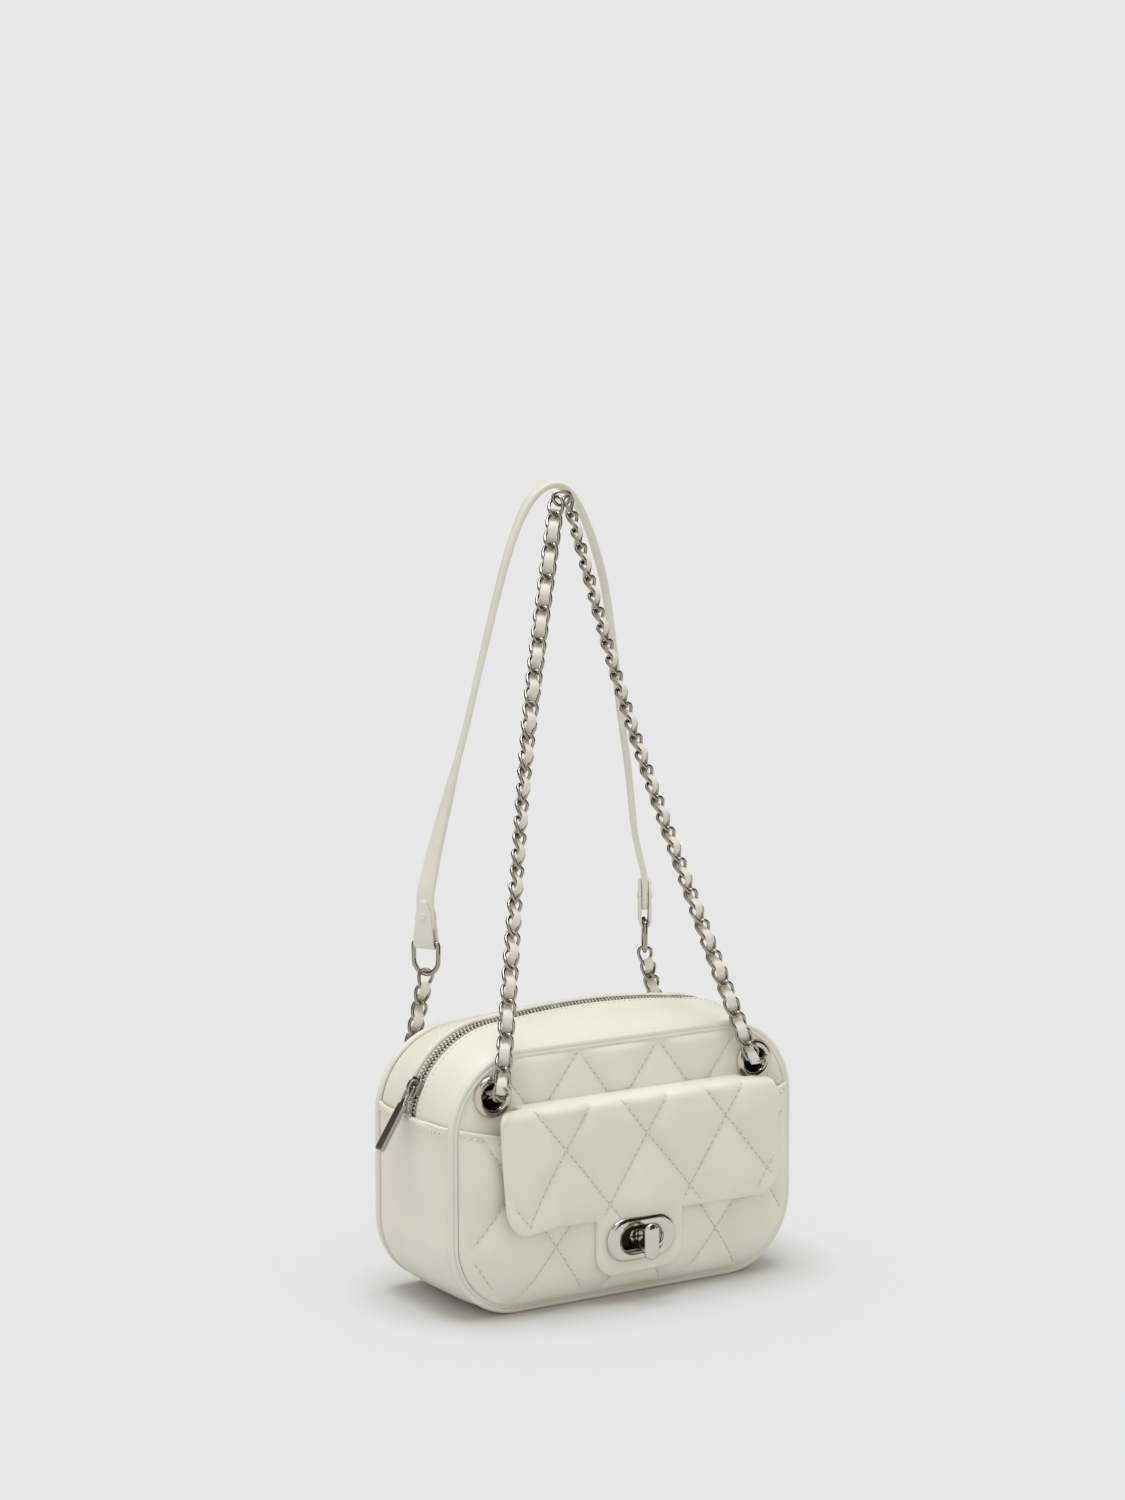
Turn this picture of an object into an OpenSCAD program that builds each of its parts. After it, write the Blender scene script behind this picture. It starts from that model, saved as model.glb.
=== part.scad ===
// Quilted chain shoulder bag: a zipped box body with a flap pocket, turn lock,
// a front chain loop and a rear leather strap on short chains.

/* [Body] */
// Width of the body over its piping
body_w = 220; // [180:1:260]
// Height of the front and back panels over their piping
body_h = 144; // [120:1:180]
// Depth between the front and back piping
body_d = 78; // [64:1:100]
// Outer radius of the two top corners
top_corner_r = 46; // [38:1:52]
// Outer radius of the two bottom corners
bottom_corner_r = 42; // [34:1:50]
// Thickness of a quilted panel
panel_t = 3; // [2:0.1:4]
// Thickness of the gusset leather
gusset_t = 1.8; // [1.2:0.1:2.2]
// Rise of the zipped top above the panels at mid width
crown_h = 12; // [8:0.5:16]
// Outward bow of the side gusset at mid depth
side_crown = 2; // [1:0.5:4]
// Depth under the panels' top of the seam between the side gusset and the zipped top
side_seam_down = 39; // [32:1:43]

/* [Piping and lining] */
// Diameter of the piping round each panel
piping_d = 3.4; // [2.4:0.1:4]
// Height of the lowest piping above the floor
piping_lift = 0.3; // [0.2:0.1:1]
// Clearance between sewn pieces
seam_gap = 0.15; // [0.1:0.05:0.25]
// Thickness of the lining cloth
lining_t = 0.8; // [0.6:0.1:1.2]
// Thickness of the stiffening board under the lining
board_t = 2; // [1.5:0.1:3]

/* [Zip] */
// Width of the open strip between the two leather edges
zip_strip_w = 13; // [12:0.5:16]
// Width of one half of the zip tape
zip_tape_w = 13; // [10:0.5:16]
// Thickness of the zip tape
zip_tape_t = 0.8; // [0.6:0.1:1]
// Gap between the two rows of teeth
zip_slit = 1.8; // [1.6:0.1:2.2]
// Reach of one tooth across the zip
tooth_w = 2.5; // [2:0.1:2.8]
// Height of a tooth above the tape
tooth_h = 1.6; // [1.2:0.1:1.8]
// Spacing of the teeth along the zip
tooth_pitch = 4; // [3.5:0.1:6]
// Length of the slider along the zip
slider_l = 11; // [9:0.5:12]
// Angle of the slider up the left corner
slider_angle = 24; // [22:1:30]
// Angle of the hanging pull from the vertical
pull_angle = 32; // [28:1:36]
// Length of the pull tab
pull_tab_l = 31; // [24:1:36]
// Width of the pull tab
pull_tab_w = 7; // [5:0.5:9]
// Thickness of the pull tab
pull_tab_t = 3; // [2.2:0.1:3.4]

/* [Pocket and flap] */
// Depth of the pocket's mouth at its sides under the panels' top
pocket_mouth_down = 39; // [39:1:49]
// Drop of the pocket's mouth at mid width
pocket_dip = 14; // [8:1:20]
// How far the pocket stands out from the front panel
pocket_bulge = 9.5; // [7:0.5:9.5]
// Thickness of the pocket leather
pocket_t = 1.8; // [1.4:0.1:2.4]
// Distance of the flap's sides from the body's sides
flap_side_in = 20; // [18:0.5:35]
// Height of the flap's lower edge beside the tab
flap_low_z = 47.5; // [42:0.5:54]
// Height of the tab's lower edge
tab_low_z = 16.3; // [12:0.1:22]
// Width of the tab under the flap
tab_w = 55; // [50:1:64]
// Corner radius of the flap and its tab
flap_corner_r = 12; // [8:1:14]
// Thickness of the flap
flap_t = 3.4; // [2.6:0.1:3.6]
// Distance of the flap hinge in front of the front panel
flap_axis_out = 9.5; // [9:0.1:10]
// Depth of the flap hinge under the panels' top
flap_axis_down = 35.6; // [35:0.1:35.6]
// Outer radius of the roll at the top of the flap
flap_roll_r = 6; // [5.6:0.1:6.2]
// Width of one quilted diamond
quilt_w = 51; // [40:1:60]
// Height of one quilted diamond
quilt_h = 69; // [56:1:80]
// Diameter of the roller that presses the quilting lines
quilt_groove_d = 3; // [2:0.2:4]
// Depth of the quilting lines
quilt_depth = 0.6; // [0.4:0.1:0.9]

/* [Turn lock] */
// Width of the lock plate
lock_w = 44; // [40:1:48]
// Height of the lock plate
lock_h = 24; // [22:1:26]
// Height of the lock's centre above the floor
lock_z = 35.3; // [33:0.1:38]
// Width of the opening through the lock plate
lock_open_w = 26; // [24:0.5:28]
// Height of the opening through the lock plate
lock_open_h = 13; // [12:0.5:14]
// Thickness of the lock plate
lock_plate_t = 2.4; // [1.6:0.1:2.6]
// Length of the turn knob
knob_l = 20; // [18:0.5:22]
// Width of the turn knob
knob_w = 9; // [8:0.5:10]
// Thickness of the turn knob
knob_t = 7.8; // [7.3:0.1:7.8]
// Diameter of the knob's spindle
spindle_d = 3.6; // [3:0.1:4.2]

/* [Eyelets] */
// Outer diameter of an eyelet
eyelet_d = 23; // [21:0.5:25]
// Diameter of the hole through an eyelet
eyelet_hole_d = 13.5; // [13:0.1:15]
// How far an eyelet stands out from the panel
eyelet_proud = 3; // [2.4:0.1:3]
// Distance of each eyelet's centre from the body's side
eyelet_side_in = 26; // [24:1:32]
// Depth of the eyelets' centres under the panels' top
eyelet_down = 23.7; // [22:0.1:24]

/* [Chain] */
// Thickness of the chain wire
wire_d = 1.9; // [1.6:0.1:1.9]
// Outer length of a link
link_l = 13; // [12.6:0.1:14]
// Outer width of a link
link_w = 9.3; // [9:0.1:10]
// Clearance between two hooked links
link_gap = 0.2; // [0.1:0.05:0.3]
// Width of the leather lace in the chain
lace_w = 4.2; // [3:0.1:4.4]
// Thickness of the lace
lace_t = 1.2; // [0.8:0.1:1.4]
// Height of the top of the front chain loop
chain_apex_z = 434; // [380:1:460]

/* [Strap] */
// Height of the top of the strap's arch
strap_apex_z = 438; // [390:1:470]
// Width of the strap
strap_w = 10; // [8:0.5:12]
// Thickness of the strap
strap_t = 3.4; // [2.6:0.1:4]
// Width of the folded strap ends
strap_end_w = 13; // [12:0.5:14]
// Thickness of the ring wire
ring_wire_d = 2.6; // [2.2:0.1:3]
// Outer width of a ring
ring_w = 18; // [17.5:0.5:20]
// Height of a ring over its wire
ring_h = 20; // [19:0.5:22]
// Length of the folded strap ends above the rings
strap_end_l = 24; // [20:1:30]

/* [Hidden] */
$fn = 48;

ivory = "#d8d5c8";
ivory_dark = "#c4c0b2";
metal = "#c9c9c6";
cloth = "#b8b2a4";

left = -1;
right = 1;
front = -1;
back = 1;
arc_steps = 7;
ridge_steps = 12;
over = 1;

// Panel planes and the piping's centre line
panel_front = body_d / 2 + panel_t / 2;
panel_back = body_d / 2 - panel_t / 2;
piping_r = piping_d / 2;
line_w = body_w / 2 - piping_r;
line_low = piping_r + piping_lift;
line_high = body_h - piping_r;
line_top_r = top_corner_r - piping_r;
line_bottom_r = bottom_corner_r - piping_r;
panel_inset = piping_r + seam_gap;
gusset_edge_y = body_d / 2 - piping_r - seam_gap;

// Ridge of the zipped top and the side gusset at mid depth
corner_rise_share = 2 / 3;
ridge_r = top_corner_r + crown_h * corner_rise_share;
ridge_x = body_w / 2 + side_crown - ridge_r;
ridge_z = body_h - top_corner_r;
ridge_mid_rise = crown_h * (1 - corner_rise_share);
side_seam_z = body_h - side_seam_down;
seam_edge_angle = asin((side_seam_z - ridge_z) / line_top_r);
seam_ridge_angle = asin((side_seam_z - ridge_z) / ridge_r);
seam_clear_angle = 0.3;
top_steps = 6;
top_power = 2;
low_power = 12;

// Lining and board
lining_inset = gusset_t + 2 * seam_gap;
lining_y = panel_back - seam_gap;
lining_slot_share = 0.7;
board_low = gusset_t + seam_gap;
board_w_share = 0.58;
board_d_share = 0.7;

// Zip, measured outward from the ridge
tape_top = -gusset_t - seam_gap;
tape_edge_y = zip_slit / 2 + zip_tape_w;
tooth_top = tape_top + tooth_h;
tooth_l_share = 0.5;
stop_l_share = 0.5;
slider_gap = 0.3;
slider_under_gap = 1;
slider_plate_t = 1.3;
slider_w_share = 2.2;
slider_w = zip_slit + 2 * tooth_w + slider_w_share * slider_plate_t;
slider_top = tooth_top + slider_gap + slider_plate_t;
slider_post_w = zip_slit - 2 * slider_gap;
slider_post_l = slider_l / 3;
bail_w = 2.4;
bail_h = 3.6;
bail_l_share = 0.72;
bail_slot = 2;
pull_wire_d = 1.4;
pull_link_l = 10;
pull_link_w = 7;
pull_eye_gap = 0.2;
pull_hinge_out = slider_top + bail_slot / 2;
pull_from_tangent = pull_angle - slider_angle;

// Pocket
pocket_low = line_low + piping_r + seam_gap;
pocket_mouth_z = body_h - pocket_mouth_down;
pocket_level_share = 0.5;
pocket_mid = pocket_low + (pocket_mouth_z - pocket_low) * pocket_level_share;
pocket_back = panel_front + seam_gap;
pocket_power = 6;
pocket_mouth_share = 0.45;
pocket_rows = 12;
pocket_columns = 20;
pocket_skin_y = pocket_back + pocket_bulge;

// Flap and its hinge
flap_w = body_w - 2 * flap_side_in;
flap_axis_z = body_h - flap_axis_down;
flap_axis_y = panel_front + flap_axis_out;
flap_face = flap_axis_y + flap_roll_r;
flap_rear = flap_face - flap_t;
flap_top = flap_axis_z + flap_roll_r;
flap_top_corner_r = flap_corner_r;
hinge_gap = 0.3;
hinge_bead_r = flap_roll_r - flap_t - hinge_gap;
hinge_web_t = 1.6;

// Quilting lines: where lines cross on the flap and on the panels
quilt_flap_x = 7;
quilt_flap_z = 91.5;
quilt_panel_x = 4;
quilt_panel_z = 32;
quilt_count = 3;
quilt_slope = atan(quilt_h / quilt_w);
quilt_sink = quilt_groove_d / 2 - quilt_depth;

// Turn lock
lock_bevel = 1;
lock_backing_t = 0.8;
lock_base_t = 1.2;
lock_base_w = lock_open_w + 3;
lock_base_h = lock_open_h + 2;
lock_base_face = pocket_skin_y + seam_gap + lock_base_t;
lock_backing_gap = 0.3;
lock_backing_y = pocket_skin_y - pocket_t - lock_backing_gap;
lock_post_d = 7;
lock_post_end = flap_face + lock_plate_t + 2;
knob_gap = 0.3;
knob_face_out = lock_post_end + knob_gap + knob_t;
spindle_gap = 0.05;
screw_x = 9.5;
screw_head_d = 5.6;
screw_head_t = 0.8;
screw_shank_d = 2;
screw_slot_w = 0.8;
screw_slot_depth = 0.4;

// Eyelets
eyelet_x = body_w / 2 - eyelet_side_in;
eyelet_z = body_h - eyelet_down;
eyelet_barrel_d = eyelet_hole_d + 2;
eyelet_gap = 0.1;
washer_d_share = 0.92;
washer_t = 0.8;
washer_face = lining_y - lining_t - eyelet_gap;

// Chain: the links turn by a right angle from one to the next
link_end_r = link_w / 2 - wire_d / 2;
link_straight = link_l - link_w;
link_reach = link_straight / 2 + link_end_r;
hook_d = wire_d + link_gap;
taut_pitch = 2 * link_reach - hook_d;
max_pitch = taut_pitch + link_gap / 2;
lace_wave = wire_d + lace_t / 2 + link_gap;
lace_steps = 4;
lace_roll = 45;

// Where the loops turn: just clear of the eyelet rims
pivot_gap = 0.45;
pivot_out = panel_front + eyelet_proud + link_w / 2 + pivot_gap;
knee_links = 3;
knee_rise = 2 * link_reach - hook_d + (knee_links - 1) * taut_pitch - hook_d / 2;
knee_in_share = 0.1;
knee_back_share = 0.02;
chain_apex_y = 24;
chain_hook_angle = 40;
front_sag_shares = [0, 0.075];
sag_at_share = 0.55;

// Strap and its rings
strap_y = 34.5;
rear_links = 6;
ring_turn = 30;
ring_r = (ring_w - ring_wire_d) / 2;
ring_lean_left = [0.075, -0.1];
ring_lean_right = [-0.33, -0.1];
strap_end_leaf_t = 1.4;
strap_start_share = 0.3;
strap_left_shares = [[1, 0], [1, 0.075], [0.965, 0.13], [0.91, 0.2], [0.79, 0.34], [0.675, 0.46],
    [0.56, 0.6], [0.44, 0.75], [0.32, 0.87], [0.17, 0.965]];
strap_right_shares = [[1, 0], [1, 0.075], [0.93, 0.13], [0.85, 0.2], [0.77, 0.34], [0.69, 0.46],
    [0.6, 0.62], [0.49, 0.78], [0.35, 0.9], [0.18, 0.975]];
rivet_d = 4;
rivet_shank_d = 2;
rivet_gap = 0.1;
rivet_head_t = 1;
rivet_at_share = 0.62;

// The part stands with its box centred on the origin
reach_front = knob_face_out;
reach_back = pivot_out + link_w / 2;
pull_reach = -ridge_x - (ridge_r + pull_hinge_out) * cos(slider_angle)
    - (pull_link_l - 2 * pull_wire_d + pull_tab_l) * sin(pull_angle) - pull_tab_t / 2 * cos(pull_angle);
reach_left = -pull_reach;
reach_right = body_w / 2 + side_crown;
shift_x = (reach_left - reach_right) / 2;
shift_y = (reach_front - reach_back) / 2;

module placed() translate([shift_x, shift_y, 0]) children();

// Points along an arc in the X-Z plane, from one angle to another
function arc(c, r, a0, a1, n) =
    [for (i = [0 : n]) let (a = a0 + (a1 - a0) * i / n) [c.x + r * cos(a), c.y + r * sin(a)]];

function unit(v) = v / norm(v);

// Rounded outline of a panel, clockwise from the lower left
function outline(inset) = let (
    w = line_w, rt = line_top_r, rb = line_bottom_r) concat(
    arc([-w + rb, line_low + rb], rb - inset, 270, 180, arc_steps),
    arc([-w + rt, line_high - rt], rt - inset, 180, 90, arc_steps),
    arc([w - rt, line_high - rt], rt - inset, 90, 0, arc_steps),
    arc([w - rb, line_low + rb], rb - inset, 0, -90, arc_steps));

// Skin between an outer and an inner grid of points, closed round its rim
module grid_shell(outer, inner) {
    ni = len(outer);
    nj = len(outer[0]);
    n = ni * nj;
    function o(i, j) = i * nj + j;
    function k(i, j) = n + i * nj + j;
    points = concat([for (row = outer) for (p = row) p], [for (row = inner) for (p = row) p]);
    outside = [for (i = [0 : ni - 2]) for (j = [0 : nj - 2]) each [
        [o(i, j), o(i, j + 1), o(i + 1, j + 1)], [o(i, j), o(i + 1, j + 1), o(i + 1, j)],
        [k(i, j), k(i + 1, j + 1), k(i, j + 1)], [k(i, j), k(i + 1, j), k(i + 1, j + 1)]]];
    rims = concat(
        [for (i = [0 : ni - 2]) each [
            [o(i, 0), o(i + 1, 0), k(i + 1, 0)], [o(i, 0), k(i + 1, 0), k(i, 0)],
            [o(i + 1, nj - 1), o(i, nj - 1), k(i, nj - 1)],
            [o(i + 1, nj - 1), k(i, nj - 1), k(i + 1, nj - 1)]]],
        [for (j = [0 : nj - 2]) each [
            [o(0, j + 1), o(0, j), k(0, j)], [o(0, j + 1), k(0, j), k(0, j + 1)],
            [o(ni - 1, j), o(ni - 1, j + 1), k(ni - 1, j + 1)],
            [o(ni - 1, j), k(ni - 1, j + 1), k(ni - 1, j)]]]);
    polyhedron(points, concat(outside, rims));
}

// Skin round a row of rings, joined end to end or closed by its two end rings
module ring_skin(rings, closed) {
    ni = len(rings);
    nj = len(rings[0]);
    last = closed ? ni - 1 : ni - 2;
    function o(i, j) = (i % ni) * nj + j % nj;
    sides = [for (i = [0 : last]) for (j = [0 : nj - 1]) each [
        [o(i, j), o(i, j + 1), o(i + 1, j + 1)], [o(i, j), o(i + 1, j + 1), o(i + 1, j)]]];
    caps = closed ? [] : [[for (j = [nj - 1 : -1 : 0]) o(0, j)], [for (j = [0 : nj - 1]) o(ni - 1, j)]];
    polyhedron([for (row = rings) for (p = row) p], concat(sides, caps));
}

// Extrudes an X-Z outline along Y between two depths
module slab(y0, y1) {
    translate([0, y1, 0]) rotate([90, 0, 0]) linear_extrude(y1 - y0) children();
}

// Crossing rollers that press the quilting lines into a face at the given depth
module quilt_lines(x, z, y) {
    half_l = quilt_h * quilt_count;
    for (lean = [left, right], i = [-quilt_count : quilt_count])
        translate([x + i * quilt_w, y, z]) rotate([0, lean * (90 - quilt_slope), 0])
            cylinder(d = quilt_groove_d, h = 2 * half_l, center = true);
}

// Panels

module panel_holes(r) {
    for (s = [left, right])
        translate([s * eyelet_x, 0, eyelet_z]) rotate([90, 0, 0])
            cylinder(r = r, h = body_d + 2 * panel_t, center = true);
}

module panel(side) {
    placed() color(ivory) difference() {
        slab(side * body_d / 2 - panel_t / 2, side * body_d / 2 + panel_t / 2)
            polygon(outline(panel_inset));
        panel_holes(eyelet_barrel_d / 2 + eyelet_gap);
        quilt_lines(quilt_panel_x, quilt_panel_z, side * (panel_front + quilt_sink));
    }
}

module front_panel() panel(front);
module back_panel() panel(back);

// Piping

module piping(side) {
    path = outline(0);
    n = len(path);
    sides = 8;
    rings = [for (i = [0 : n - 1]) let (
        t = unit(path[(i + 1) % n] - path[(i + n - 1) % n]), out = [-t.y, t.x])
        [for (j = [0 : sides - 1]) let (a = 360 * j / sides)
            [path[i].x + piping_r * cos(a) * out.x, side * body_d / 2 + piping_r * sin(a),
             path[i].y + piping_r * cos(a) * out.y]]];
    placed() color(ivory_dark) ring_skin(rings, true);
}

module front_piping() piping(front);
module back_piping() piping(back);

// Gussets: each point lies between the edge line and the ridge line

function top_edge(inset) = let (a = seam_edge_angle + seam_clear_angle, w = line_w - line_top_r) concat(
    arc([-w, ridge_z], line_top_r - inset, 180 - a, 90, ridge_steps),
    [for (i = [1 : top_steps - 1]) [w * (2 * i / top_steps - 1), line_high - inset]],
    arc([w, ridge_z], line_top_r - inset, 90, a, ridge_steps));

function top_ridge(out) = let (a = seam_ridge_angle + seam_clear_angle, w = ridge_x) concat(
    arc([-w, ridge_z], ridge_r + out, 180 - a, 90, ridge_steps),
    [for (i = [1 : top_steps - 1]) let (u = 2 * i / top_steps - 1)
        [w * u, ridge_z + ridge_r + out + ridge_mid_rise * (1 - u * u)]],
    arc([w, ridge_z], ridge_r + out, 90, a, ridge_steps));

function low_edge(inset) = let (a = seam_edge_angle, w = line_w, rb = line_bottom_r) concat(
    arc([w - line_top_r, ridge_z], line_top_r - inset, a, 0, 2),
    arc([w - rb, line_low + rb], rb - inset, 0, -90, arc_steps),
    arc([-w + rb, line_low + rb], rb - inset, 270, 180, arc_steps),
    arc([-w + line_top_r, ridge_z], line_top_r - inset, 180, 180 - a, 2));

function low_ridge(inset) = let (
    a = seam_ridge_angle, w = body_w / 2 + side_crown, rb = line_bottom_r + line_low) concat(
    arc([ridge_x, ridge_z], ridge_r - inset, a, 0, 2),
    arc([w - rb, rb], rb - inset, 0, -90, arc_steps),
    arc([-w + rb, rb], rb - inset, 270, 180, arc_steps),
    arc([-ridge_x, ridge_z], ridge_r - inset, 180, 180 - a, 2));

function between(edge, ridge, depths, power) = [for (i = [0 : len(edge) - 1])
    [for (y = depths) let (
        f = 1 - pow(abs(y) / gusset_edge_y, power),
        p = edge[i] + (ridge[i] - edge[i]) * f) [p.x, y, p.y]]];

module zip_gusset(side) {
    outer = [1, 0.86, 0.66] * gusset_edge_y;
    near = concat(outer, [tape_edge_y, zip_strip_w / 2]);
    depths = side == front ? -near : [for (i = [len(near) - 1 : -1 : 0]) near[i]];
    placed() color(ivory) grid_shell(
        between(top_edge(0), top_ridge(0), depths, top_power),
        between(top_edge(gusset_t), top_ridge(-gusset_t), depths, top_power));
}

module zip_gusset_front() zip_gusset(front);
module zip_gusset_back() zip_gusset(back);

module lower_gusset() {
    depths = [-1, -0.9, -0.7, -0.35, 0, 0.35, 0.7, 0.9, 1] * gusset_edge_y;
    placed() color(ivory) grid_shell(
        between(low_edge(0), low_ridge(0), depths, low_power),
        between(low_edge(gusset_t), low_ridge(gusset_t), depths, low_power));
}

// Lining and base board

module lining() {
    slot_w = 2 * line_w * lining_slot_share;
    slot_d = 2 * lining_y * lining_slot_share;
    placed() color(cloth) difference() {
        slab(-lining_y, lining_y) polygon(outline(lining_inset));
        slab(-lining_y + lining_t, lining_y - lining_t) polygon(outline(lining_inset + lining_t));
        translate([-slot_w / 2, -slot_d / 2, line_high - line_top_r / 2])
            cube([slot_w, slot_d, line_top_r]);
        panel_holes(eyelet_barrel_d / 2 + eyelet_gap);
    }
}

module base_board() {
    w = 2 * line_w * board_w_share;
    d = 2 * gusset_edge_y * board_d_share;
    placed() color(ivory_dark) translate([-w / 2, -d / 2, board_low]) cube([w, d, board_t]);
}

// Zip

module zip_tape(side) {
    near = [tape_edge_y, zip_strip_w / 2, zip_slit / 2];
    depths = side == front ? -near : [for (i = [len(near) - 1 : -1 : 0]) near[i]];
    placed() color(ivory_dark) grid_shell(
        between(top_edge(-tape_top), top_ridge(tape_top), depths, top_power),
        between(top_edge(zip_tape_t - tape_top), top_ridge(tape_top - zip_tape_t), depths, top_power));
}

module zip_tape_front() zip_tape(front);
module zip_tape_back() zip_tape(back);

// A tooth stands on the tape at each step of the ridge's facets
module zip_teeth(side) {
    path = top_ridge(tape_top);
    l = tooth_pitch * tooth_l_share;
    placed() color(metal) for (i = [0 : len(path) - 2]) {
        run = path[i + 1] - path[i];
        count = max(1, floor(norm(run) / tooth_pitch));
        for (k = [0 : count - 1]) {
            p = path[i] + run * (k + 0.5) / count;
            translate([p.x, side * (zip_slit + tooth_w) / 2, p.y]) rotate([0, -atan2(run.y, run.x), 0])
                translate([-l / 2, -tooth_w / 2, 0]) cube([l, tooth_w, tooth_h]);
        }
    }
}

module zip_teeth_front() zip_teeth(front);
module zip_teeth_back() zip_teeth(back);

// Stands what follows on the left corner of the ridge: -X outward, +Z up along the zip
module on_left_corner(angle)
    translate([-ridge_x, 0, ridge_z]) rotate([0, angle, 0]) translate([-ridge_r, 0, 0]) children();

module zip_end_stops() {
    l = tooth_pitch * tooth_l_share * stop_l_share;
    lift = seam_ridge_angle + seam_clear_angle;
    placed() color(metal) for (s = [left, right]) mirror([s == left ? 0 : 1, 0, 0])
        on_left_corner(lift) translate([-tooth_top, -zip_slit / 2 - tooth_w, l / 2])
            cube([tooth_h, zip_slit + 2 * tooth_w, l]);
}

module zip_slider() {
    wall = slider_plate_t;
    low = tape_top - zip_tape_t - slider_under_gap;
    placed() color(metal) on_left_corner(slider_angle) {
        for (x = [-slider_top, -low]) translate([x, -slider_w / 2, -slider_l / 2])
            cube([wall, slider_w, slider_l]);
        for (s = [front, back])
            translate([-slider_top + wall / 2, s * (slider_w - wall) / 2 - wall / 2, -slider_l / 2])
                cube([(wall + tooth_h) / 2, wall, slider_l]);
        translate([-slider_top + wall / 2, -slider_post_w / 2, slider_l / 2 - slider_post_l])
            cube([slider_top - low, slider_post_w, slider_post_l]);
        translate([-slider_top, 0, 0]) difference() {
            translate([-bail_h, -bail_w / 2, -slider_l * bail_l_share / 2])
                cube([bail_h, bail_w, slider_l * bail_l_share]);
            translate([-bail_slot, -bail_w, -bail_slot])
                cube([bail_slot, 2 * bail_w, 2 * bail_slot]);
        }
    }
}

// Stands what follows on the pull's hinge: hanging along -Z, with its outer face to -X
module on_pull_hinge()
    on_left_corner(slider_angle) translate([-pull_hinge_out, 0, 0])
        rotate([0, pull_from_tangent, 0]) children();

module zip_pull_link() {
    l = pull_link_l - pull_wire_d;
    placed() color(metal) on_pull_hinge() {
        for (z = [0, -l]) translate([0, 0, z]) rotate([90, 0, 0])
            cylinder(d = pull_wire_d, h = pull_link_w, center = true);
        for (s = [front, back]) translate([0, s * (pull_link_w - pull_wire_d) / 2, -l])
            cylinder(d = pull_wire_d, h = l);
    }
}

module zip_pull_tab() {
    eye_z = -(pull_link_l - 2 * pull_wire_d);
    neck_w = pull_link_w - 2 * pull_wire_d - 2 * pull_eye_gap;
    hole_z = -(pull_link_l - pull_wire_d);
    placed() color(metal) on_pull_hinge() difference() {
        union() {
            translate([-pull_tab_t / 2, -neck_w / 2, eye_z - pull_tab_l])
                cube([pull_tab_t, neck_w, pull_tab_l]);
            translate([-pull_tab_t / 2, -pull_tab_w / 2, eye_z - pull_tab_l])
                cube([pull_tab_t, pull_tab_w, pull_tab_l - 2 * pull_wire_d]);
        }
        translate([0, 0, hole_z]) rotate([90, 0, 0])
            cylinder(d = pull_wire_d + 2 * pull_eye_gap, h = 2 * pull_tab_w, center = true);
    }
}

// Pocket on the front panel

function half_width(z) = let (
    w = line_w - panel_inset,
    rt = line_top_r - panel_inset,
    rb = line_bottom_r - panel_inset)
    z < line_low + line_bottom_r
    ? w - rb + sqrt(max(0, rb * rb - pow(line_low + line_bottom_r - z, 2)))
    : z > line_high - line_top_r
    ? w - rt + sqrt(max(0, rt * rt - pow(z - line_high + line_top_r, 2)))
    : w;

// How far the pocket stands out, as a share of its bulge, across (u) and up (v)
function pocket_rise(u, z) = let (v = (z - pocket_mid) / (pocket_mid - pocket_low))
    (1 - pow(abs(u), pocket_power)) * (v < 0 ? 1 - pow(-v, pocket_power) : 1 - pocket_mouth_share * v * v);

function pocket_grid(back_off) = [for (i = [0 : pocket_columns])
    let (u = sin(90 * (2 * i / pocket_columns - 1))) [for (j = [0 : pocket_rows]) let (
        v = 1 - cos(90 * min(1, 2 * j / pocket_rows)),
        dip = pocket_dip * (1 - u * u),
        top = pocket_mouth_z - dip,
        z = j <= pocket_rows / 2 ? pocket_low + (pocket_mid - pocket_low) * v
            : pocket_mid + (top - pocket_mid) * (2 * j / pocket_rows - 1),
        y = pocket_back + pocket_t + (pocket_bulge - pocket_t) * pocket_rise(u, z) - back_off)
        [u * half_width(z), -y, z]]];

module front_pocket_panel() {
    placed() color(ivory) difference() {
        grid_shell(pocket_grid(0), pocket_grid(pocket_t));
        for (s = [left, right]) translate([s * screw_x, -pocket_skin_y, lock_z]) rotate([90, 0, 0])
            cylinder(d = screw_shank_d + 2 * eyelet_gap, h = 2 * pocket_bulge, center = true);
    }
}

// Flap

module flap_outline() {
    r = flap_corner_r;
    w = flap_w / 2;
    t = tab_w / 2;
    polygon(concat(
        arc([-w + r, flap_top - flap_top_corner_r], r, 180, 90, arc_steps),
        arc([w - r, flap_top - flap_top_corner_r], r, 90, 0, arc_steps),
        arc([w - r, flap_low_z + r], r, 0, -90, arc_steps),
        [[t, flap_low_z]],
        arc([t - r, tab_low_z + r], r, 0, -90, arc_steps),
        arc([-t + r, tab_low_z + r], r, 270, 180, arc_steps),
        [[-t, flap_low_z]],
        arc([-w + r, flap_low_z + r], r, 270, 180, arc_steps)));
}

// Section of the flap in the Y-Z plane: a hanging sheet with a rolled top
module flap_section() {
    c = [-flap_axis_y, flap_axis_z];
    polygon(concat(
        [[-flap_rear, tab_low_z - over], [-flap_face, tab_low_z - over]],
        arc(c, flap_roll_r, 180, 90, arc_steps),
        arc(c, flap_roll_r - flap_t, 90, 180, arc_steps)));
}

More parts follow.
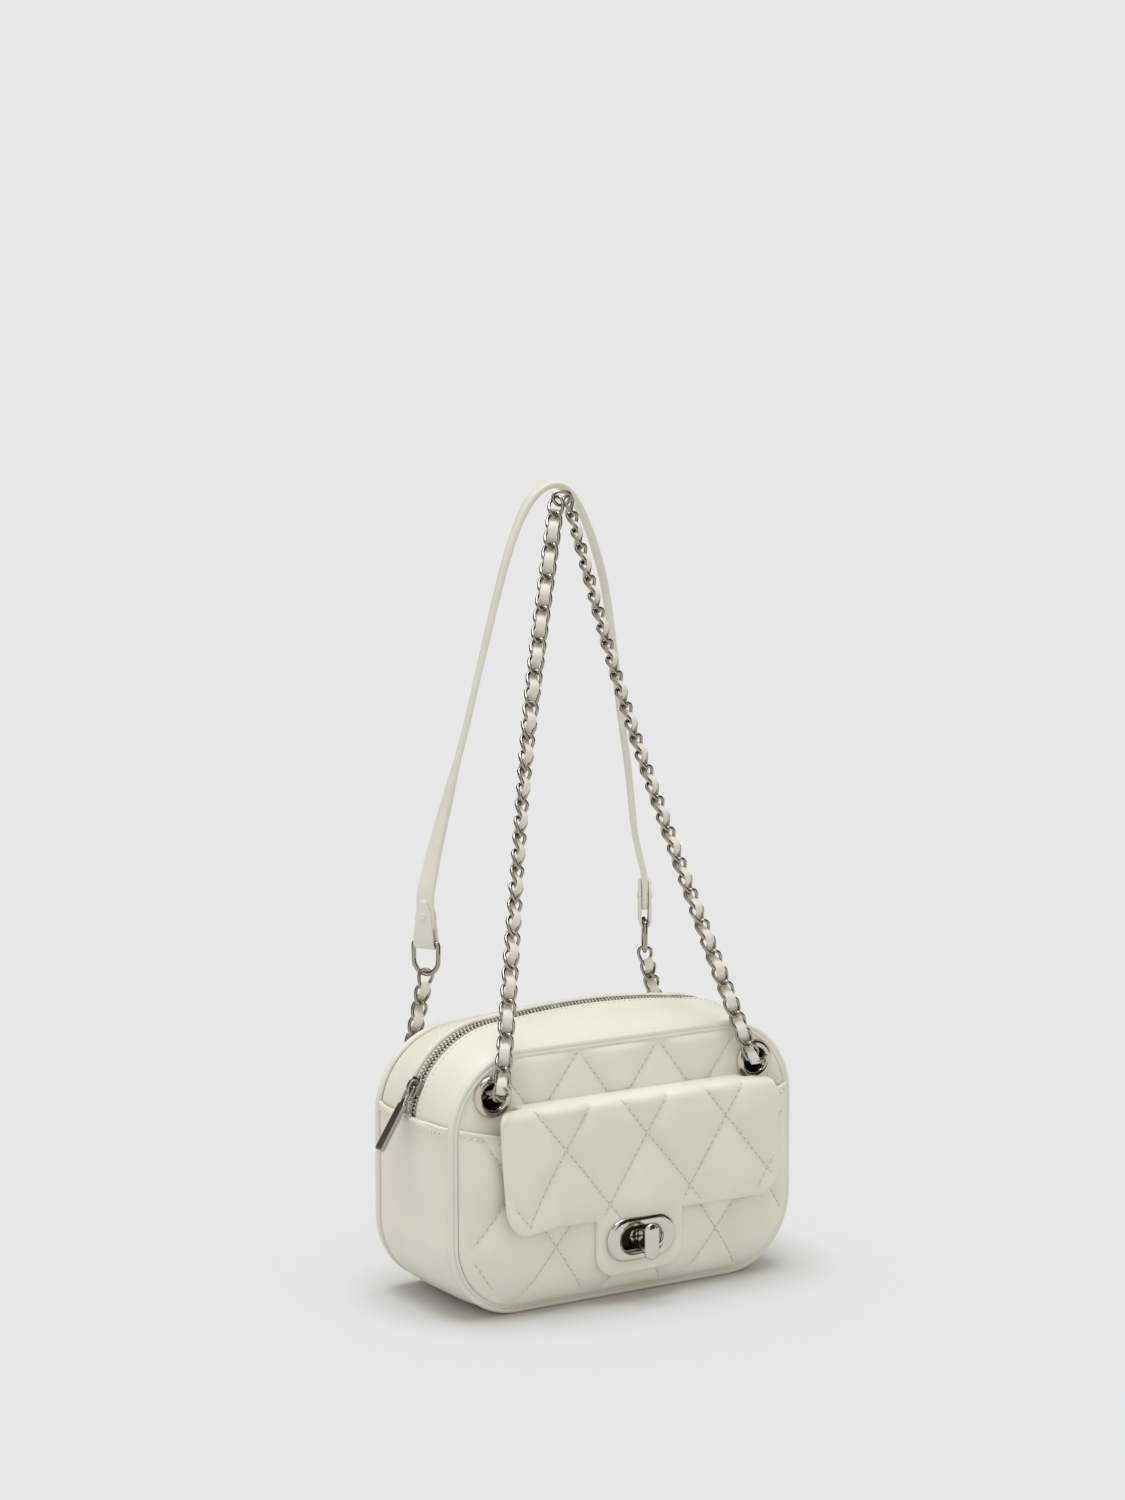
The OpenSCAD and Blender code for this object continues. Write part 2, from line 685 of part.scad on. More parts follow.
module pocket_flap() {
    placed() color(ivory) difference() {
        intersection() {
            rotate([90, 0, 90]) linear_extrude(flap_w, center = true) flap_section();
            slab(-flap_face - over, -flap_axis_y + over) flap_outline();
        }
        quilt_lines(quilt_flap_x, quilt_flap_z, -(flap_face + quilt_sink));
        translate([0, 0, lock_z]) slab(-flap_face - over, -flap_rear + over)
            obround(lock_open_w, lock_open_h);
    }
}

module flap_hinge_strip() {
    web_top = flap_axis_z - hinge_gap / 2;
    web_end = flap_axis_y - hinge_bead_r / 2;
    w = flap_w - 2 * flap_corner_r;
    placed() color(ivory_dark) {
        translate([-w / 2, -web_end, web_top - hinge_web_t])
            cube([w, web_end - panel_front - quilt_depth, hinge_web_t]);
        translate([0, -flap_axis_y, flap_axis_z]) rotate([0, 90, 0])
            cylinder(r = hinge_bead_r, h = w, center = true);
    }
}

// Turn lock

module obround(w, h) {
    r = h / 2;
    polygon(concat(
        arc([w / 2 - r, 0], r, 90, -90, 2 * arc_steps),
        arc([-w / 2 + r, 0], r, 270, 90, 2 * arc_steps)));
}

module lock_plate() {
    placed() color(metal) translate([0, 0, lock_z]) difference() {
        union() {
            slab(-flap_face - lock_plate_t + lock_bevel, -flap_face) obround(lock_w, lock_h);
            slab(-flap_face - lock_plate_t, -flap_face)
                obround(lock_w - 2 * lock_bevel, lock_h - 2 * lock_bevel);
        }
        slab(-flap_face - lock_plate_t - over, -flap_face + over) obround(lock_open_w, lock_open_h);
    }
}

module lock_plate_backing() {
    placed() color(metal) translate([0, 0, lock_z]) difference() {
        slab(-flap_rear, -flap_rear + lock_backing_t)
            obround(lock_w - 2 * lock_bevel, lock_h - 2 * lock_bevel);
        slab(-flap_rear - over, -flap_rear + lock_backing_t + over) obround(lock_open_w, lock_open_h);
    }
}

module lock_base() {
    placed() color(metal) translate([0, 0, lock_z]) difference() {
        union() {
            slab(-lock_base_face, -lock_base_face + lock_base_t) obround(lock_base_w, lock_base_h);
            translate([0, -lock_base_face + lock_base_t / 2, 0]) rotate([90, 0, 0])
                cylinder(d = lock_post_d, h = lock_post_end - lock_base_face + lock_base_t / 2);
        }
        translate([0, -lock_base_face + lock_base_t + over, 0]) rotate([90, 0, 0])
            cylinder(
                d = spindle_d + 2 * spindle_gap,
                h = lock_post_end - lock_base_face + lock_base_t + 2 * over);
        for (s = [left, right])
            translate([s * screw_x, -lock_base_face + lock_base_t + over, 0]) rotate([90, 0, 0])
                cylinder(d = screw_shank_d + 2 * spindle_gap, h = lock_base_t + 2 * over);
    }
}

module lock_base_backing() {
    y = lock_backing_y;
    placed() color(metal) translate([0, 0, lock_z]) difference() {
        slab(-y, -y + lock_base_t) obround(lock_base_w, lock_base_h);
        for (s = [left, right]) translate([s * screw_x, -y + lock_base_t + over, 0]) rotate([90, 0, 0])
            cylinder(d = screw_shank_d + 2 * spindle_gap, h = lock_base_t + 2 * over);
    }
}

module lock_screws() {
    shank_l = lock_base_face - lock_backing_y + lock_base_t;
    placed() color(metal) for (s = [left, right]) translate([s * screw_x, -lock_base_face, lock_z])
        rotate([90, 0, 0]) difference() {
            union() {
                cylinder(d = screw_head_d, h = screw_head_t);
                translate([0, 0, -shank_l]) cylinder(d = screw_shank_d, h = shank_l + screw_head_t / 2);
            }
            for (turn = [0, 90]) rotate([0, 0, turn])
                translate([-screw_head_d, -screw_slot_w / 2, screw_head_t - screw_slot_depth])
                    cube([2 * screw_head_d, screw_slot_w, screw_head_t]);
        }
}

module lock_knob() {
    placed() color(metal) translate([0, 0, lock_z]) {
        slab(-knob_face_out, -knob_face_out + knob_t) rotate(90) obround(knob_l, knob_w);
        translate([0, -lock_post_end - knob_gap - knob_t / 2, 0]) rotate([-90, 0, 0])
            cylinder(d = spindle_d, h = lock_post_end - lock_base_face + knob_gap + knob_t / 2);
    }
}

// Eyelets

module eyelet(side, hand) {
    mid = (eyelet_d + eyelet_hole_d) / 4;
    half = (eyelet_d - eyelet_hole_d) / 4;
    barrel_l = panel_front - washer_face + washer_t;
    rim = [for (p = arc([0, 0], 1, 180, 0, arc_steps)) [mid + half * p.x, eyelet_proud * p.y]];
    placed() color(metal) translate([hand * eyelet_x, side * panel_front, eyelet_z])
        rotate([-side * 90, 0, 0]) rotate_extrude() polygon(concat(rim,
            [[eyelet_barrel_d / 2, 0], [eyelet_barrel_d / 2, -barrel_l], [eyelet_hole_d / 2, -barrel_l]]));
}

module eyelet_washer(side, hand) {
    placed() color(metal) translate([hand * eyelet_x, side * washer_face, eyelet_z])
        rotate([side * 90, 0, 0]) difference() {
            cylinder(d = eyelet_d * washer_d_share, h = washer_t);
            translate([0, 0, -over])
                cylinder(d = eyelet_barrel_d + 2 * eyelet_gap, h = washer_t + 2 * over);
        }
}

module eyelet_front_left() eyelet(front, left);
module eyelet_front_right() eyelet(front, right);
module eyelet_back_left() eyelet(back, left);
module eyelet_back_right() eyelet(back, right);
module eyelet_washer_front_left() eyelet_washer(front, left);
module eyelet_washer_front_right() eyelet_washer(front, right);
module eyelet_washer_back_left() eyelet_washer(back, left);
module eyelet_washer_back_right() eyelet_washer(back, right);

// Chain

module link() {
    for (s = [left, right]) {
        translate([s * link_straight / 2, 0, 0]) rotate([0, 0, -s * 90])
            rotate_extrude(angle = 180) translate([link_end_r, 0]) circle(d = wire_d);
        translate([0, s * link_end_r, 0]) rotate([0, 90, 0])
            cylinder(d = wire_d, h = link_straight, center = true);
    }
}

// Turns local X along a run; local Y then lies as near the Y axis as it can
module along(a, b) {
    d = unit(b - a);
    s = unit([0, 1, 0] - d * d.y);
    n = cross(d, s);
    multmatrix([[d.x, s.x, n.x, a.x], [d.y, s.y, n.y, a.y], [d.z, s.z, n.z, a.z], [0, 0, 0, 1]]) children();
}

// Links of one straight run, from one joint point to the next, turned in turn
module run_links(a, b, count, first) {
    pitch = norm(b - a) / count;
    along(a, b) for (i = [0 : count - 1])
        translate([(i + 0.5) * pitch, 0, 0]) rotate([(i + first) % 2 * 90, 0, 0]) link();
}

// Lace woven through one straight run, over one joint and under the next
module run_lace(a, b, count, start) {
    pitch = norm(b - a) / count;
    n = count * lace_steps;
    wave = [for (i = [0 : n]) [i * pitch / lace_steps, start * lace_wave * cos(180 * i / lace_steps)]];
    lift = [0, lace_t / 2];
    along(a, b) rotate([lace_roll, 0, 0]) linear_extrude(lace_w, center = true)
        polygon(concat([for (p = wave) p + lift], [for (i = [n : -1 : 0]) wave[i] - lift]));
}

function run_count(a, b) = ceil(norm(b - a) / max_pitch);
function even_count(a, b, before) = let (n = run_count(a, b)) n + (n + before) % 2;

// Point where a run of n links ends, so that the last link's end wire lies at the given point
function run_end(a, wire, n) = a + unit(wire - a) * (norm(wire - a) - link_reach) / (1 - 1 / (2 * n));

// Joint points: the pivot outside an eyelet, the knee above it and the run to the top
function pivot(side, x) = [x, side * pivot_out, eyelet_z];
function knee(side, x, top) = let (p = pivot(side, x), d = unit([(top.x - x) * knee_in_share,
    (top.y - p.y) * knee_back_share, knee_rise])) p + d * knee_rise;
function chain_top(hand) = [hand * (link_straight / 2 + (link_end_r - hook_d) * cos(chain_hook_angle)),
    chain_apex_y, chain_apex_z - link_w / 2 + (link_end_r - hook_d) * sin(chain_hook_angle)];
function front_knee(hand) = knee(front, hand * eyelet_x, chain_top(hand));
function front_mid(hand) = let (
    a = front_knee(hand),
    b = chain_top(hand),
    sag = front_sag_shares[hand == left ? 0 : 1])
    a + (b - a) * sag_at_share - [hand * sag * eyelet_x, 0, 0];
function front_low_count(hand) = run_count(front_knee(hand), front_mid(hand));
function front_high_count(hand) = even_count(front_mid(hand), chain_top(hand), front_low_count(hand));

// Taut links of a loop: the lowest one hooks round the end of the inner chain
module loop_links(a, b, count) {
    along(a, b) for (i = [0 : count - 1])
        translate([link_reach - hook_d + i * taut_pitch, 0, 0]) rotate([i % 2 * 90, 0, 0]) link();
}

module front_chain_links(hand) {
    p = pivot(front, hand * eyelet_x);
    k = front_knee(hand);
    m = front_mid(hand);
    low = front_low_count(hand);
    high = front_high_count(hand);
    placed() color(metal) {
        loop_links(p, k, knee_links);
        run_links(k, m, low, knee_links);
        run_links(m, run_end(m, chain_top(hand), high), high, knee_links + low);
    }
}

module front_chain_lace(hand) {
    p = pivot(front, hand * eyelet_x);
    k = front_knee(hand);
    m = front_mid(hand);
    low = front_low_count(hand);
    high = front_high_count(hand);
    t = run_end(m, chain_top(hand), high);
    placed() color(ivory) {
        run_lace(p + (k - p) / knee_links, k, knee_links - 1, 1);
        run_lace(k, m, low, 1);
        run_lace(m, m + (t - m) * (high - 1) / high, high - 1, low % 2 == 0 ? 1 : -1);
    }
}

module front_chain_links_left() front_chain_links(left);
module front_chain_links_right() front_chain_links(right);
module front_chain_lace_left() front_chain_lace(left);
module front_chain_lace_right() front_chain_lace(right);

module front_chain_apex_link() {
    placed() color(metal) translate([0, chain_apex_y, chain_apex_z - link_w / 2]) rotate([90, 0, 0]) link();
}

// The chain that runs through the body from a front eyelet to the back one
module inner_chain(hand) {
    half = pivot_out - link_reach;
    count = 2 * ceil(half / max_pitch);
    step = 2 * half / count;
    placed() color(metal) for (i = [0 : count])
        translate([hand * eyelet_x, i * step - half, eyelet_z])
            rotate([0, 0, 90]) rotate([i % 2 * 90, 0, 0]) link();
}

module inner_lace(hand) {
    half = pivot_out - link_reach;
    count = 2 * ceil(half / max_pitch);
    x = hand * eyelet_x;
    placed() color(ivory)
        translate([x, 0, eyelet_z]) rotate([0, 0, 90]) rotate([lace_roll, 0, 0])
            linear_extrude(lace_w, center = true) lace_wave_section(2 * half, count);
}

// Flat wave of a lace over a number of joints, centred
module lace_wave_section(l, count) {
    n = count * lace_steps;
    wave = [for (i = [0 : n]) [l * (i / n - 0.5), lace_wave * sin(180 * i / lace_steps)]];
    lift = [0, lace_t / 2];
    polygon(concat([for (p = wave) p + lift], [for (i = [n : -1 : 0]) wave[i] - lift]));
}

module inner_chain_left() inner_chain(left);
module inner_chain_right() inner_chain(right);
module inner_lace_left() inner_lace(left);
module inner_lace_right() inner_lace(right);

// Rear chains, taut from the back eyelets up to the strap's rings

function rear_way(hand) = unit(concat(hand == left ? ring_lean_left : ring_lean_right, 1));
function ring_foot(hand) = pivot(back, hand * eyelet_x) + rear_way(hand)
    * (2 * link_reach - hook_d + (rear_links - 1) * taut_pitch - (wire_d + ring_wire_d) / 2 - link_gap);

module rear_chain(hand) {
    p = pivot(back, hand * eyelet_x);
    placed() color(metal) loop_links(p, p + rear_way(hand), rear_links);
}

module rear_lace(hand) {
    p = pivot(back, hand * eyelet_x);
    d = rear_way(hand) * taut_pitch;
    placed() color(ivory) run_lace(p + d, p + d * (rear_links - 0.5), rear_links - 1, 1);
}

module rear_chain_left() rear_chain(left);
module rear_chain_right() rear_chain(right);
module rear_lace_left() rear_lace(left);
module rear_lace_right() rear_lace(right);

// Strap, its folded ends and its rings

// Stands what follows at a ring's lowest point: local X across the ring, local Y through it
module at_ring(hand)
    translate(ring_foot(hand)) rotate([0, 0, 90 - hand * ring_turn])
        translate([0, 0, -ring_wire_d / 2]) children();

// Heights above a ring's lowest point
ring_bar = ring_h - ring_wire_d / 2;
strap_start = ring_bar + strap_end_l * strap_start_share;
strap_end_top = ring_bar + strap_end_l;
rivet_up = ring_bar + strap_end_l * rivet_at_share;

module strap_ring(hand) {
    foot = ring_wire_d / 2 + ring_r;
    placed() color(metal) at_ring(hand) {
        translate([0, 0, foot]) rotate([90, 0, 0]) rotate([0, 0, 180])
            rotate_extrude(angle = 180) translate([ring_r, 0]) circle(d = ring_wire_d);
        for (s = [left, right]) translate([s * ring_r, 0, foot])
            cylinder(d = ring_wire_d, h = ring_bar - foot);
        translate([0, 0, ring_bar]) rotate([0, 90, 0])
            cylinder(d = ring_wire_d, h = ring_w, center = true);
    }
}

module strap_ring_left() strap_ring(left);
module strap_ring_right() strap_ring(right);

// Middle line of the strap with its side direction, turned toward each ring at the ends
function strap_line(hand) = let (
    shares = hand == left ? strap_left_shares : strap_right_shares,
    foot = ring_foot(hand) + [0, 0, strap_start - ring_wire_d / 2],
    rise = strap_apex_z - strap_t / 2 - foot.z) [for (q = shares)
    [q.x * foot.x, foot.y + (strap_y - foot.y) * (1 - q.x), foot.z + q.y * rise]];

module shoulder_strap() {
    l = strap_line(left);
    r = strap_line(right);
    n = len(r);
    line = concat(l, [[0, strap_y, strap_apex_z - strap_t / 2]], [for (i = [n - 1 : -1 : 0]) r[i]]);
    m = len(line);
    rings = [for (i = [0 : m - 1]) let (
        ends = i < 2 || i > m - 3,
        t = ends ? [0, 0, i < 2 ? 1 : -1] : unit(line[i + 1] - line[i - 1]),
        share = abs(2 * i / (m - 1) - 1),
        turn = ends ? ring_turn : ring_turn * share * share,
        side = cos(turn) * [0, 1, 0] + sin(turn) * unit(cross(t, [0, 1, 0])),
        s = unit(side - t * (side * t)),
        out = cross(t, s))
        [for (q = [[1, -1], [1, 1], [-1, 1], [-1, -1]])
            line[i] + out * q.x * strap_t / 2 + s * q.y * strap_w / 2]];
    placed() color(ivory) difference() {
        ring_skin(rings, false);
        for (s = [left, right]) at_rivet(s)
            cylinder(d = rivet_shank_d + 2 * rivet_gap, h = 2 * strap_t, center = true);
    }
}

// Leather end folded round the ring's bar, its two leaves on either side of the strap
module strap_end(hand) {
    inner = strap_t / 2 + seam_gap;
    outer = inner + strap_end_leaf_t;
    w = min(ring_w - 2 * ring_wire_d - 2 * seam_gap, strap_end_w);
    placed() color(ivory) at_ring(hand) difference() {
        rotate([90, 0, 90]) linear_extrude(w, center = true) polygon(concat(
            arc([0, ring_bar], outer, 180, 360, 2 * arc_steps),
            [[outer, strap_end_top], [inner, strap_end_top]],
            arc([0, ring_bar], inner, 360, 180, 2 * arc_steps),
            [[-inner, strap_end_top], [-outer, strap_end_top]]));
        translate([0, 0, rivet_up]) rotate([90, 0, 0])
            cylinder(d = rivet_shank_d + 2 * rivet_gap, h = 4 * outer, center = true);
    }
}

// Stands what follows at a rivet through a strap end, with its shank along local Z
module at_rivet(hand) at_ring(hand) translate([0, 0, rivet_up]) rotate([90, 0, 0]) children();

module strap_rivet(hand) {
    outer = strap_t / 2 + seam_gap + strap_end_leaf_t;
    placed() color(metal) at_rivet(hand) {
        cylinder(d = rivet_shank_d, h = 2 * outer + rivet_head_t, center = true);
        for (s = [front, back]) translate([0, 0, s > 0 ? outer : -outer - rivet_head_t])
            cylinder(d = rivet_d, h = rivet_head_t);
    }
}

module strap_end_left() strap_end(left);
module strap_end_right() strap_end(right);
module strap_rivet_left() strap_rivet(left);
module strap_rivet_right() strap_rivet(right);

front_panel();
back_panel();
front_pocket_panel();
pocket_flap();
flap_hinge_strip();
zip_gusset_front();
zip_gusset_back();
lower_gusset();
front_piping();
back_piping();
lining();
base_board();
zip_tape_front();
zip_tape_back();
zip_teeth_front();
zip_teeth_back();
zip_end_stops();
zip_slider();
zip_pull_link();
zip_pull_tab();
eyelet_front_left();
eyelet_front_right();
eyelet_back_left();
eyelet_back_right();
eyelet_washer_front_left();
eyelet_washer_front_right();
eyelet_washer_back_left();
eyelet_washer_back_right();
lock_plate();
lock_plate_backing();
lock_base();
lock_base_backing();
lock_screws();
lock_knob();
front_chain_links_left();
front_chain_links_right();
front_chain_apex_link();
front_chain_lace_left();
front_chain_lace_right();
inner_chain_left();
inner_chain_right();
inner_lace_left();
inner_lace_right();
rear_chain_left();
rear_chain_right();
rear_lace_left();
rear_lace_right();
strap_ring_left();
strap_ring_right();
shoulder_strap();
strap_end_left();
strap_end_right();
strap_rivet_left();
strap_rivet_right();
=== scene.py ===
"""Quilted ivory shoulder bag: padded panels, flap with a turn lock, laced chain and leather strap."""

from math import asin, ceil, cos, degrees, hypot, pi, radians, sin, sqrt

import bmesh
import bpy
import numpy as np
from mathutils import Matrix, Vector
from mathutils.geometry import delaunay_2d_cdt


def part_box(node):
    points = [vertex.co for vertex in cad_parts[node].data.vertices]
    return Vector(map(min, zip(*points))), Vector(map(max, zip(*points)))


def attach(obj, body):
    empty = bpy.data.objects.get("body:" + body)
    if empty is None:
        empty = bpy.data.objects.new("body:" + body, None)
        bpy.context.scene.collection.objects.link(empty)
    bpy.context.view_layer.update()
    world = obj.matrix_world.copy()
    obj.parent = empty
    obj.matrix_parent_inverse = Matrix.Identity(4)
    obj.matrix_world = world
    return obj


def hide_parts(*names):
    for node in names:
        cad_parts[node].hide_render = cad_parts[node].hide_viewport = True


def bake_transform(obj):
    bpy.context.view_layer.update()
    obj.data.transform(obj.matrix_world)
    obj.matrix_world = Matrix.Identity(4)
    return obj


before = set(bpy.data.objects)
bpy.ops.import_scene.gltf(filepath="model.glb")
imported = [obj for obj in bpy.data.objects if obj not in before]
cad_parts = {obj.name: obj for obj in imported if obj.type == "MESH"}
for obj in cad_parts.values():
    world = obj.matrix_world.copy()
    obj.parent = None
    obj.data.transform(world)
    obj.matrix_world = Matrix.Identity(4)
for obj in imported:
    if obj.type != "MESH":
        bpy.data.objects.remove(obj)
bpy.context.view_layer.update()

# Sizes below are millimetres in the bag's own frame: middle of the body, floor at 0.
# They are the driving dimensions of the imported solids.
MM = 0.001
LEFT, RIGHT, FRONT, BACK = -1, 1, -1, 1
HANDS = {"left": LEFT, "right": RIGHT}
SIDES = {"front": FRONT, "back": BACK}
X, Y, Z = np.eye(3)


def middle(*nodes, axis):
    """Middle of the box round some nodes along one axis, in metres."""
    boxes = [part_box(n) for n in nodes]
    return (min(b[0][axis] for b in boxes) + max(b[1][axis] for b in boxes)) / 2


MIDDLE = np.array([middle("front_panel", axis=0), middle("front_piping", "back_piping", axis=1), 0.0])

# Body
BODY_W, BODY_H, BODY_D = 220.0, 144.0, 78.0
TOP_R, BOTTOM_R = 46.0, 42.0
PANEL_T, GUSSET_T = 3.0, 1.8
CROWN_H, SIDE_CROWN = 12.0, 2.0
SEAM_Z, PIPING_R = 105.0, 1.9
PIPING_LIFT, LINE_IN = 0.3, 1.7
FLOOR_GAP, THIN = 0.02, 0.05
WELT_IN, WELT_R, WELT_OUT, WELT_POCKET_OUT = 2.1, 1.2, -0.5, 0.1
SEAM_GAP = 0.15
LINE_W = BODY_W / 2 - LINE_IN
LINE_LOW = LINE_IN + PIPING_LIFT
LINE_HIGH = BODY_H - LINE_IN
LINE_TOP_R, LINE_BOTTOM_R = TOP_R - LINE_IN, BOTTOM_R - LINE_IN
PANEL_INSET = LINE_IN + SEAM_GAP
PANEL_FRONT = BODY_D / 2 + PANEL_T / 2
EDGE_Y = BODY_D / 2 - PANEL_INSET
RIDGE_R = TOP_R + CROWN_H * 2 / 3
RIDGE_X = BODY_W / 2 + SIDE_CROWN - RIDGE_R
RIDGE_Z = BODY_H - TOP_R
RIDGE_RISE = CROWN_H / 3

# Zip
ZIP_STRIP_W, ZIP_SLIT = 13.0, 1.8
TAPE_TOP = -GUSSET_T - SEAM_GAP
TAPE_T = 0.8
TOOTH_PITCH, TEETH_IN = 2.2, 2.5
SLIDER_ANGLE, PULL_ANGLE = 24.0, 32.0
PULL_HINGE_OUT = 2.25
PULL_LINK_L, PULL_LINK_W, PULL_WIRE_R = 10.0, 7.0, 0.75
PULL_TAB_L, PULL_TAB_W, PULL_TAB_T = 31.0, 7.4, 2.6

# Pocket and flap
MOUTH_Z, MOUTH_DIP = 105.0, 14.0
POCKET_BULGE, POCKET_T, POCKET_IN = 9.5, 1.8, 1.0
POCKET_LOW = LINE_LOW + PANEL_INSET
POCKET_MID = (POCKET_LOW + MOUTH_Z) / 2
POCKET_BACK = PANEL_FRONT + SEAM_GAP
FLAP_LOW, TAB_LOW, TAB_W = 47.5, 16.3, 55.0
FLAP_T, FLAP_ROLL_R = 3.4, 6.0
FLAP_AXIS_Y, FLAP_AXIS_Z = PANEL_FRONT + 9.5, 108.4
FLAP_FACE = FLAP_AXIS_Y + FLAP_ROLL_R
FLAP_BEND_R = FLAP_ROLL_R - FLAP_T / 2
QUILT_W, QUILT_H = 51.5, 69.0

# Lock, eyelets, chain and strap
LOCK_Z, LOCK_W, LOCK_H = 35.3, 44.0, 24.0
LOCK_OPEN_W, LOCK_OPEN_H = 26.0, 13.0
LOCK_BASE_W, LOCK_BASE_H = 29.0, 15.0
KNOB_OUT, KNOB_L, KNOB_W = 68.5, 20.0, 9.0
EYELET_X, EYELET_Z, EYELET_D, EYELET_HOLE, EYELET_PROUD = 84.0, 120.3, 23.0, 13.5, 3.0
WIRE_R, LINK_L, LINK_W, LINK_GAP = 0.95, 13.0, 9.3, 0.2
LINK_END_R = LINK_W / 2 - WIRE_R
LINK_STRAIGHT = LINK_L - LINK_W
LINK_REACH = LINK_STRAIGHT / 2 + LINK_END_R
HOOK = 2 * WIRE_R + LINK_GAP
TAUT_PITCH = 2 * LINK_REACH - HOOK
PIVOT_OUT = PANEL_FRONT + EYELET_PROUD + LINK_W / 2 + 0.45
FRONT_LINKS, REAR_LINKS, INNER_LINKS = 37, 6, 11
REAR_RUN = 2 * LINK_REACH - HOOK + (REAR_LINKS - 1) * TAUT_PITCH
CHAIN_APEX = (0.0, 24.0, 434.0)
STRAP_Y, STRAP_APEX_Z, STRAP_W, STRAP_T = 34.5, 438.0, 10.0, 3.4
RING_R, RING_WIRE_R, RING_H, RING_TURN = 7.7, 1.3, 20.0, 30.0
RING_LEAN = {LEFT: (0.17, -0.1), RIGHT: (-0.33, -0.1)}
STRAP_END_L, STRAP_END_W = 24.0, 12.5


# Small helpers

def unit(v):
    """A vector, or each row of vectors, brought to length 1."""
    v = np.asarray(v, float)
    return v / np.linalg.norm(v, axis=-1, keepdims=True)


def directions(line):
    return unit(np.gradient(line, axis=0))


def square_to(v, run):
    """The part of v that stands square to the unit direction run, at length 1."""
    return unit(v - run * (v * run).sum(-1, keepdims=True))


def xyz(x, y, z):
    return np.stack(np.broadcast_arrays(x, y, z), -1).astype(float)


def srgb(r, g, b):
    """Linear colour of an 8-bit sRGB colour."""
    def line(c):
        c /= 255
        return c / 12.92 if c <= 0.04045 else ((c + 0.055) / 1.055) ** 2.4
    return (line(r), line(g), line(b), 1.0)


def smooth(x, a, b):
    t = np.clip((x - a) / (b - a), 0, 1)
    return t * t * (3 - 2 * t)


def wobble(x, z, seed=0.0, size=1.0):
    """Slow unevenness of hand-sewn leather, between about -1 and 1."""
    return (np.sin(x / 31 / size + 1.7 * seed + 0.4) * np.cos(z / 23 / size + seed)
            + 0.6 * np.sin(x / 14 / size - z / 19 / size + 2.9 * seed)
            + 0.35 * np.sin(x / 7.3 / size + z / 9.1 / size + 4.1 * seed)) / 1.95


def arc(cx, cz, r, a0, a1, n):
    a = np.radians(np.linspace(a0, a1, n + 1))
    return np.stack([cx + r * np.cos(a), cz + r * np.sin(a)], 1)


# Materials

def add(tree, kind, feeds=(), **values):
    """A node with its values set and its inputs fed by other nodes."""
    node = tree.nodes.new(kind)
    for key, value in values.items():
        if key in node.inputs:
            node.inputs[key].default_value = value
        else:
            setattr(node, key, value)
    for key, source in dict(feeds).items():
        tree.links.new(source, node.inputs[key])
    return node


def nodes_of(material, **values):
    """The node tree and the shader of a material, with some of the shader's values set."""
    material.use_nodes = True
    shader = material.node_tree.nodes["Principled BSDF"]
    for key, value in values.items():
        shader.inputs[key.replace("_", " ")].default_value = value
    return material.node_tree, shader


def textured(name, **values):
    """A new material with its tree, its shader and the object's coordinates."""
    material = bpy.data.materials.new(name)
    tree, shader = nodes_of(material, **values)
    return material, tree, shader, add(tree, "ShaderNodeTexCoord").outputs["Object"]


def noise(tree, coords, scale, detail=3.0, rough=0.5):
    return add(tree, "ShaderNodeTexNoise", {"Vector": coords}, Scale=scale, Detail=detail,
               Roughness=rough).outputs["Fac"]


def tint(tree, shader, factor, base, low, high=1.0):
    """Lets the colour drift between two shades of the base."""
    ramp = add(tree, "ShaderNodeValToRGB", {"Fac": factor})
    for element, shade, place in zip(ramp.color_ramp.elements, (low, high), (0.3, 0.7)):
        element.color = (*(min(1.0, c * shade) for c in base[:3]), 1.0)
        element.position = place
    tree.links.new(ramp.outputs["Color"], shader.inputs["Base Color"])


def gloss(tree, shader, factor, low, high):
    spread = add(tree, "ShaderNodeMapRange", {"Value": factor}, **{"To Min": low, "To Max": high})
    tree.links.new(spread.outputs["Result"], shader.inputs["Roughness"])


def bump(tree, height, strength, distance, **below):
    return add(tree, "ShaderNodeBump", {"Height": height, **below}, Strength=strength,
               Distance=distance).outputs["Normal"]


def leather(name, base, roughness=0.42, grain=0.18):
    """Smooth coated leather: faint cloudiness, fine pores and a soft sheen."""
    material, tree, shader, coords = textured(name, Specular_IOR_Level=0.42)
    tint(tree, shader, noise(tree, coords, 28.0, 4.0), base, 0.955, 1.03)
    pores = add(tree, "ShaderNodeTexVoronoi", {"Vector": coords}, Scale=1500.0)
    fine = bump(tree, pores.outputs["Distance"], grain, 0.00012)
    soft = bump(tree, noise(tree, coords, 260.0, 6.0, 0.6), grain, 0.00035, Normal=fine)
    tree.links.new(soft, shader.inputs["Normal"])
    gloss(tree, shader, noise(tree, coords, 90.0), roughness - 0.05, roughness + 0.08)
    return material


def thread(name, base):
    material, tree, shader, coords = textured(name, Roughness=0.7)
    twist = add(tree, "ShaderNodeTexWave", {"Vector": coords}, Scale=900.0, Distortion=1.0).outputs["Fac"]
    tint(tree, shader, twist, base, 0.92)
    tree.links.new(bump(tree, twist, 0.4, 0.0001), shader.inputs["Normal"])
    return material


